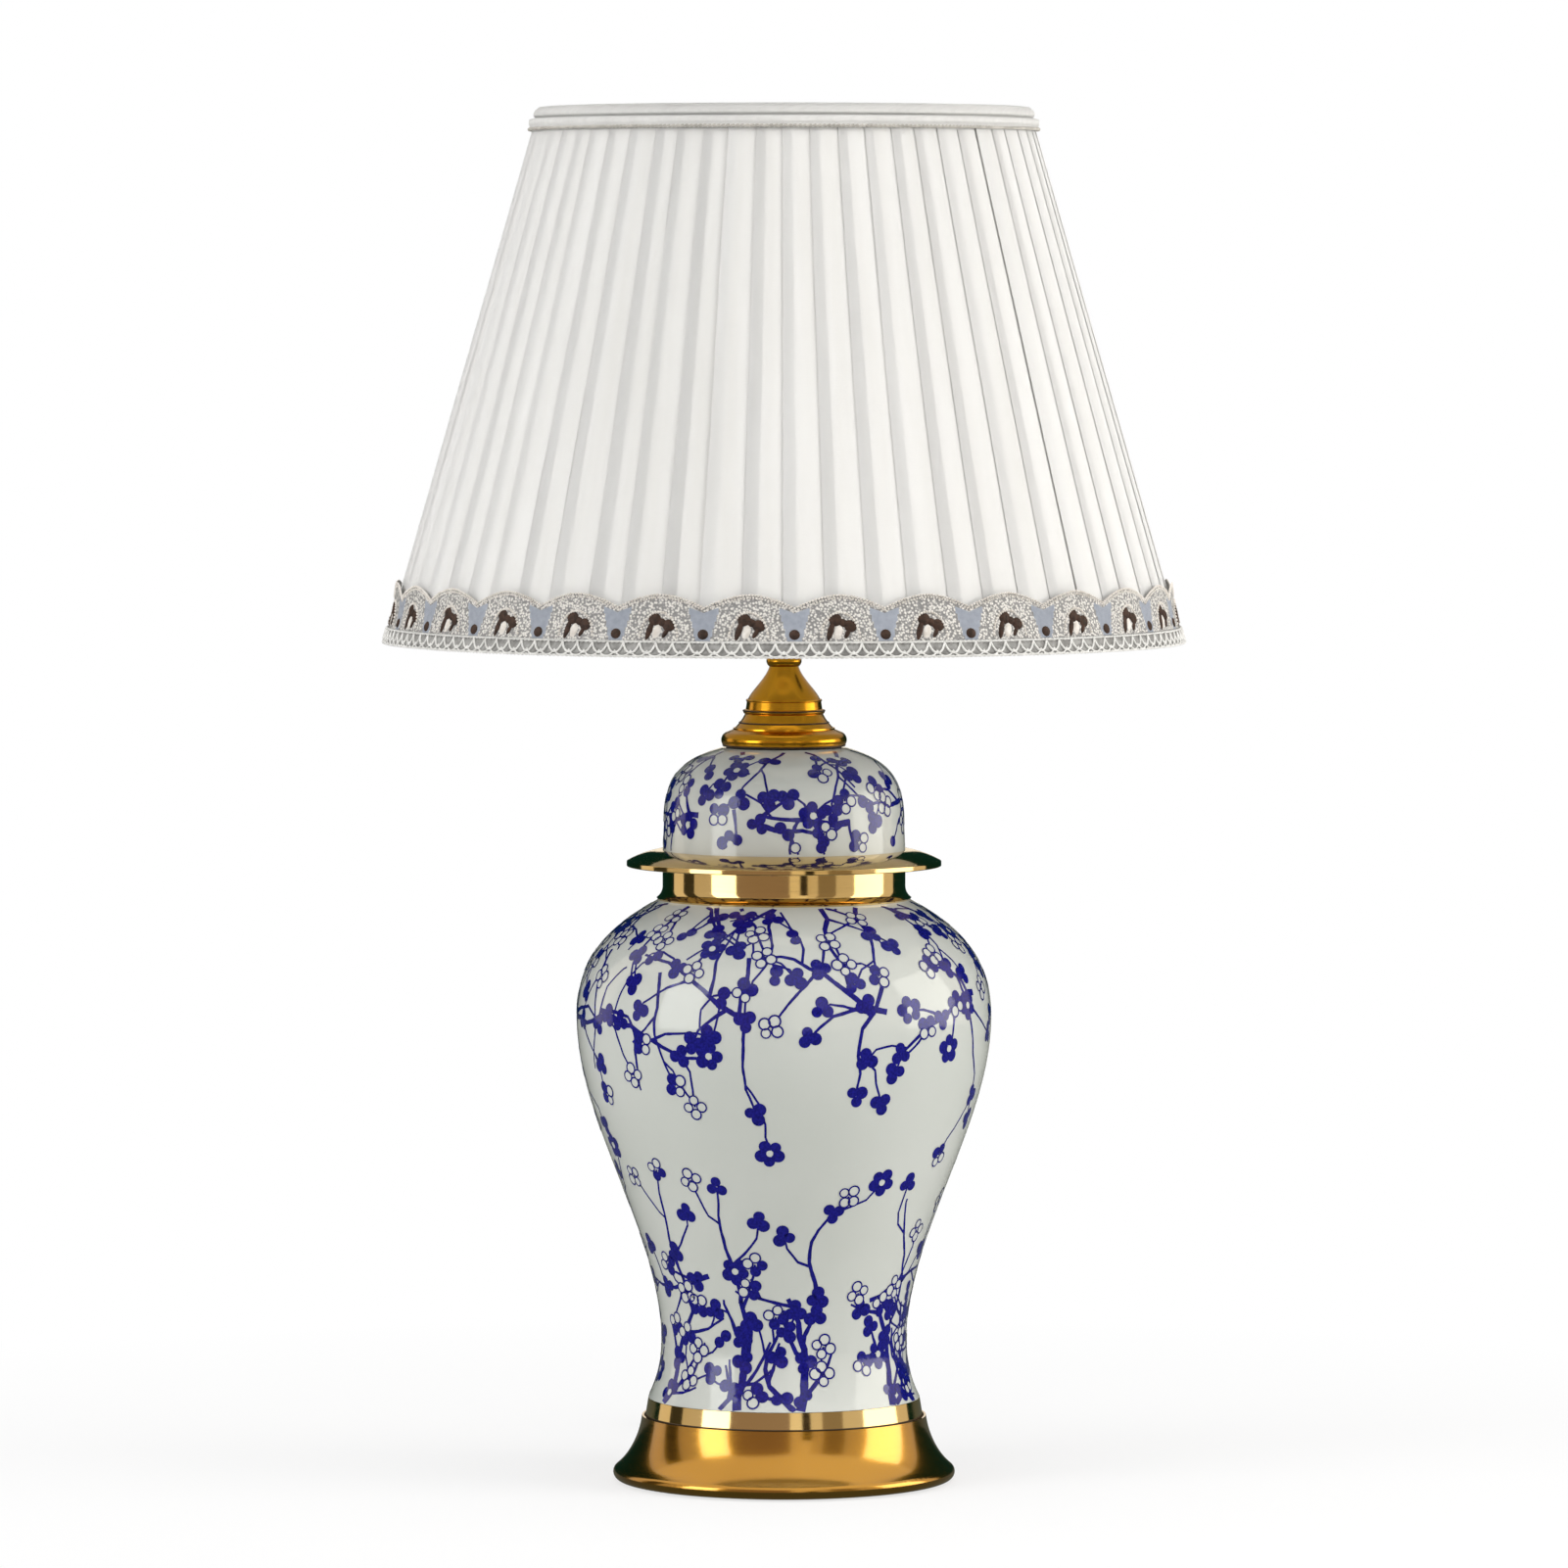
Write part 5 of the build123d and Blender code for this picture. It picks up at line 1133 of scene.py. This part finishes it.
def add_floor():
    """A wide pale floor that keeps the lamp's shadow and fades to white far off."""
    half = FLOOR_SIZE / 2
    mesh = bpy.data.meshes.new("floor")
    corners = [(-half, -half, 0), (half, -half, 0), (half, half, 0), (-half, half, 0)]
    mesh.from_pydata(corners, [], [(0, 1, 2, 3)])
    material, tree, shader = new_material("pale_floor")
    fill_sockets(shader, {"Base Color": opaque(FLOOR_GREY), "Roughness": FLOOR_ROUGH})
    white = add_node(tree, "ShaderNodeEmission", {"Color": opaque(PAGE_WHITE), "Strength": 1.0})
    distance = add_node(tree, "ShaderNodeVectorMath", operation="LENGTH")
    tree.links.new(stretched_coords(tree, EVEN), distance.inputs[0])
    fade = add_node(tree, "ShaderNodeMapRange", FLOOR_FADE)
    tree.links.new(distance.outputs["Value"], fade.inputs["Value"])
    dim = add_node(tree, "ShaderNodeEmission", {"Color": opaque(FLOOR_MIRRORED), "Strength": 1.0})
    seen, mirrored = seen_rays(tree)
    share = add_node(tree, "ShaderNodeMath", operation="MULTIPLY")
    tree.links.new(seen, share.inputs[0])
    tree.links.new(fade.outputs["Result"], share.inputs[1])
    plain = mix_shaders(tree, share.outputs["Value"], shader.outputs["BSDF"], white.outputs["Emission"])
    whole = mix_shaders(tree, mirrored, plain, dim.outputs["Emission"])
    tree.links.new(whole, tree.nodes["Material Output"].inputs["Surface"])
    mesh.materials.append(material)
    floor = add_object("floor", mesh)


def add_world():
    """A white surround that lights the lamp more gently than it looks."""
    world = bpy.data.worlds.new("studio")
    scene.world = world
    world.use_nodes = True
    tree = world.node_tree
    tree.nodes.clear()
    colours = {"page": PAGE_WHITE, "light": WORLD_LIGHT, "mirrored": WORLD_MIRRORED}
    shaders = {}
    for name, colour in colours.items():
        background = add_node(tree, "ShaderNodeBackground", {"Color": opaque(colour), "Strength": 1.0})
        shaders[name] = background.outputs["Background"]
    output = add_node(tree, "ShaderNodeOutputWorld")
    seen, mirrored = seen_rays(tree)
    plain = mix_shaders(tree, seen, shaders["light"], shaders["page"])
    tree.links.new(mix_shaders(tree, mirrored, plain, shaders["mirrored"]), output.inputs["Surface"])


LIGHT_AIM = (0, 0, 0.35)
# Place, width and height, watts and colour
SOFTBOXES = {
    "left_softbox": ((-2.2, -1.4, 1.5), (1.2, 1.8), 41, (1.0, 1.0, 1.0)),
    "right_softbox": ((2.2, -0.7, 1.2), (1.2, 1.9), 46, (1.0, 0.985, 0.96)),
    "top_softbox": ((0, -0.8, 2.6), (2.0, 2.0), 22, (1.0, 1.0, 1.0)),
}
CARD_DISTANCE = 3.2
CARD_TOP = 2.2
SIDE_TOP = 9.0
# Cards that the brass and the glaze reflect: bearings from the front, colour, top
CARDS = {
    "left_back_card": (-176, -128, (0.004, 0.022, 0.014), SIDE_TOP),
    "left_edge_card": (-128, -110, (0.85, 0.76, 0.62)),
    "left_dark_card": (-110, -94, (0.05, 0.045, 0.03)),
    "left_pale_card": (-94, -72, (0.62, 0.55, 0.45)),
    "left_bright_card": (-72, -46, (3.5, 3.5, 3.35)),
    "front_card": (-46, 5, (0.34, 0.26, 0.22)),
    "front_pale_card": (5, 15, (0.95, 0.86, 0.70)),
    "narrow_dark_card": (15, 22, (0.04, 0.03, 0.02), 1.0),
    "narrow_pale_card": (22, 32, (0.75, 0.66, 0.52)),
    "right_dim_card": (32, 50, (0.30, 0.24, 0.17)),
    "right_pale_card": (50, 70, (0.70, 0.62, 0.50)),
    "right_bright_card": (70, 108, (3.2, 3.05, 2.7)),
    "right_edge_card": (108, 126, (0.75, 0.65, 0.50)),
    "right_back_card": (126, 176, (0.004, 0.022, 0.014), SIDE_TOP),
}


def add_softbox(name, place, size, power, colour):
    """A large soft lamp."""
    data = bpy.data.lights.new(name, "AREA")
    data.shape = "RECTANGLE"
    data.size, data.size_y = size
    data.energy = power
    data.color = colour
    lamp = add_object(name, data)
    lamp.location = place
    lamp.rotation_euler = (Vector(LIGHT_AIM) - Vector(place)).to_track_quat("-Z", "Y").to_euler()
    lamp.visible_glossy = False


def add_card(name, left, right, colour, top=CARD_TOP):
    """A standing card at a distance, between two bearings from the front, that only reflections see."""
    corners = []
    for bearing in (left, right):
        across = CARD_DISTANCE * sin(radians(bearing))
        back = -CARD_DISTANCE * cos(radians(bearing))
        corners.append(((across, back, 0.0), (across, back, top)))
    mesh = bpy.data.meshes.new(name)
    mesh.from_pydata([*corners[0], *reversed(corners[1])], [], [(0, 1, 2, 3)])
    material, _, shader = new_material(name)
    fill_sockets(shader, {"Base Color": opaque((0, 0, 0)), "Specular IOR Level": 0.0})
    fill_sockets(shader, {"Emission Color": opaque(colour), "Emission Strength": 1.0})
    mesh.materials.append(material)
    card = add_object(name, mesh)
    card.visible_camera = False
    card.visible_diffuse = False
    card.visible_shadow = False
    card.visible_transmission = False


def add_lights():
    """Softboxes at both sides and above, and cards that break up the reflections."""
    for name, softbox in SOFTBOXES.items():
        add_softbox(name, *softbox)
    for name, card in CARDS.items():
        add_card(name, *card)


add_camera()
add_cord(MATERIALS["cord_sheath"])
dress_nodes()
paint_jar()
paint_lid()
build_seam_lines()
build_cover()
build_lining()
build_top_trim()
build_lace()
build_gimp()
add_floor()
add_world()
add_lights()
bpy.context.scene.view_settings.view_transform = "Standard"
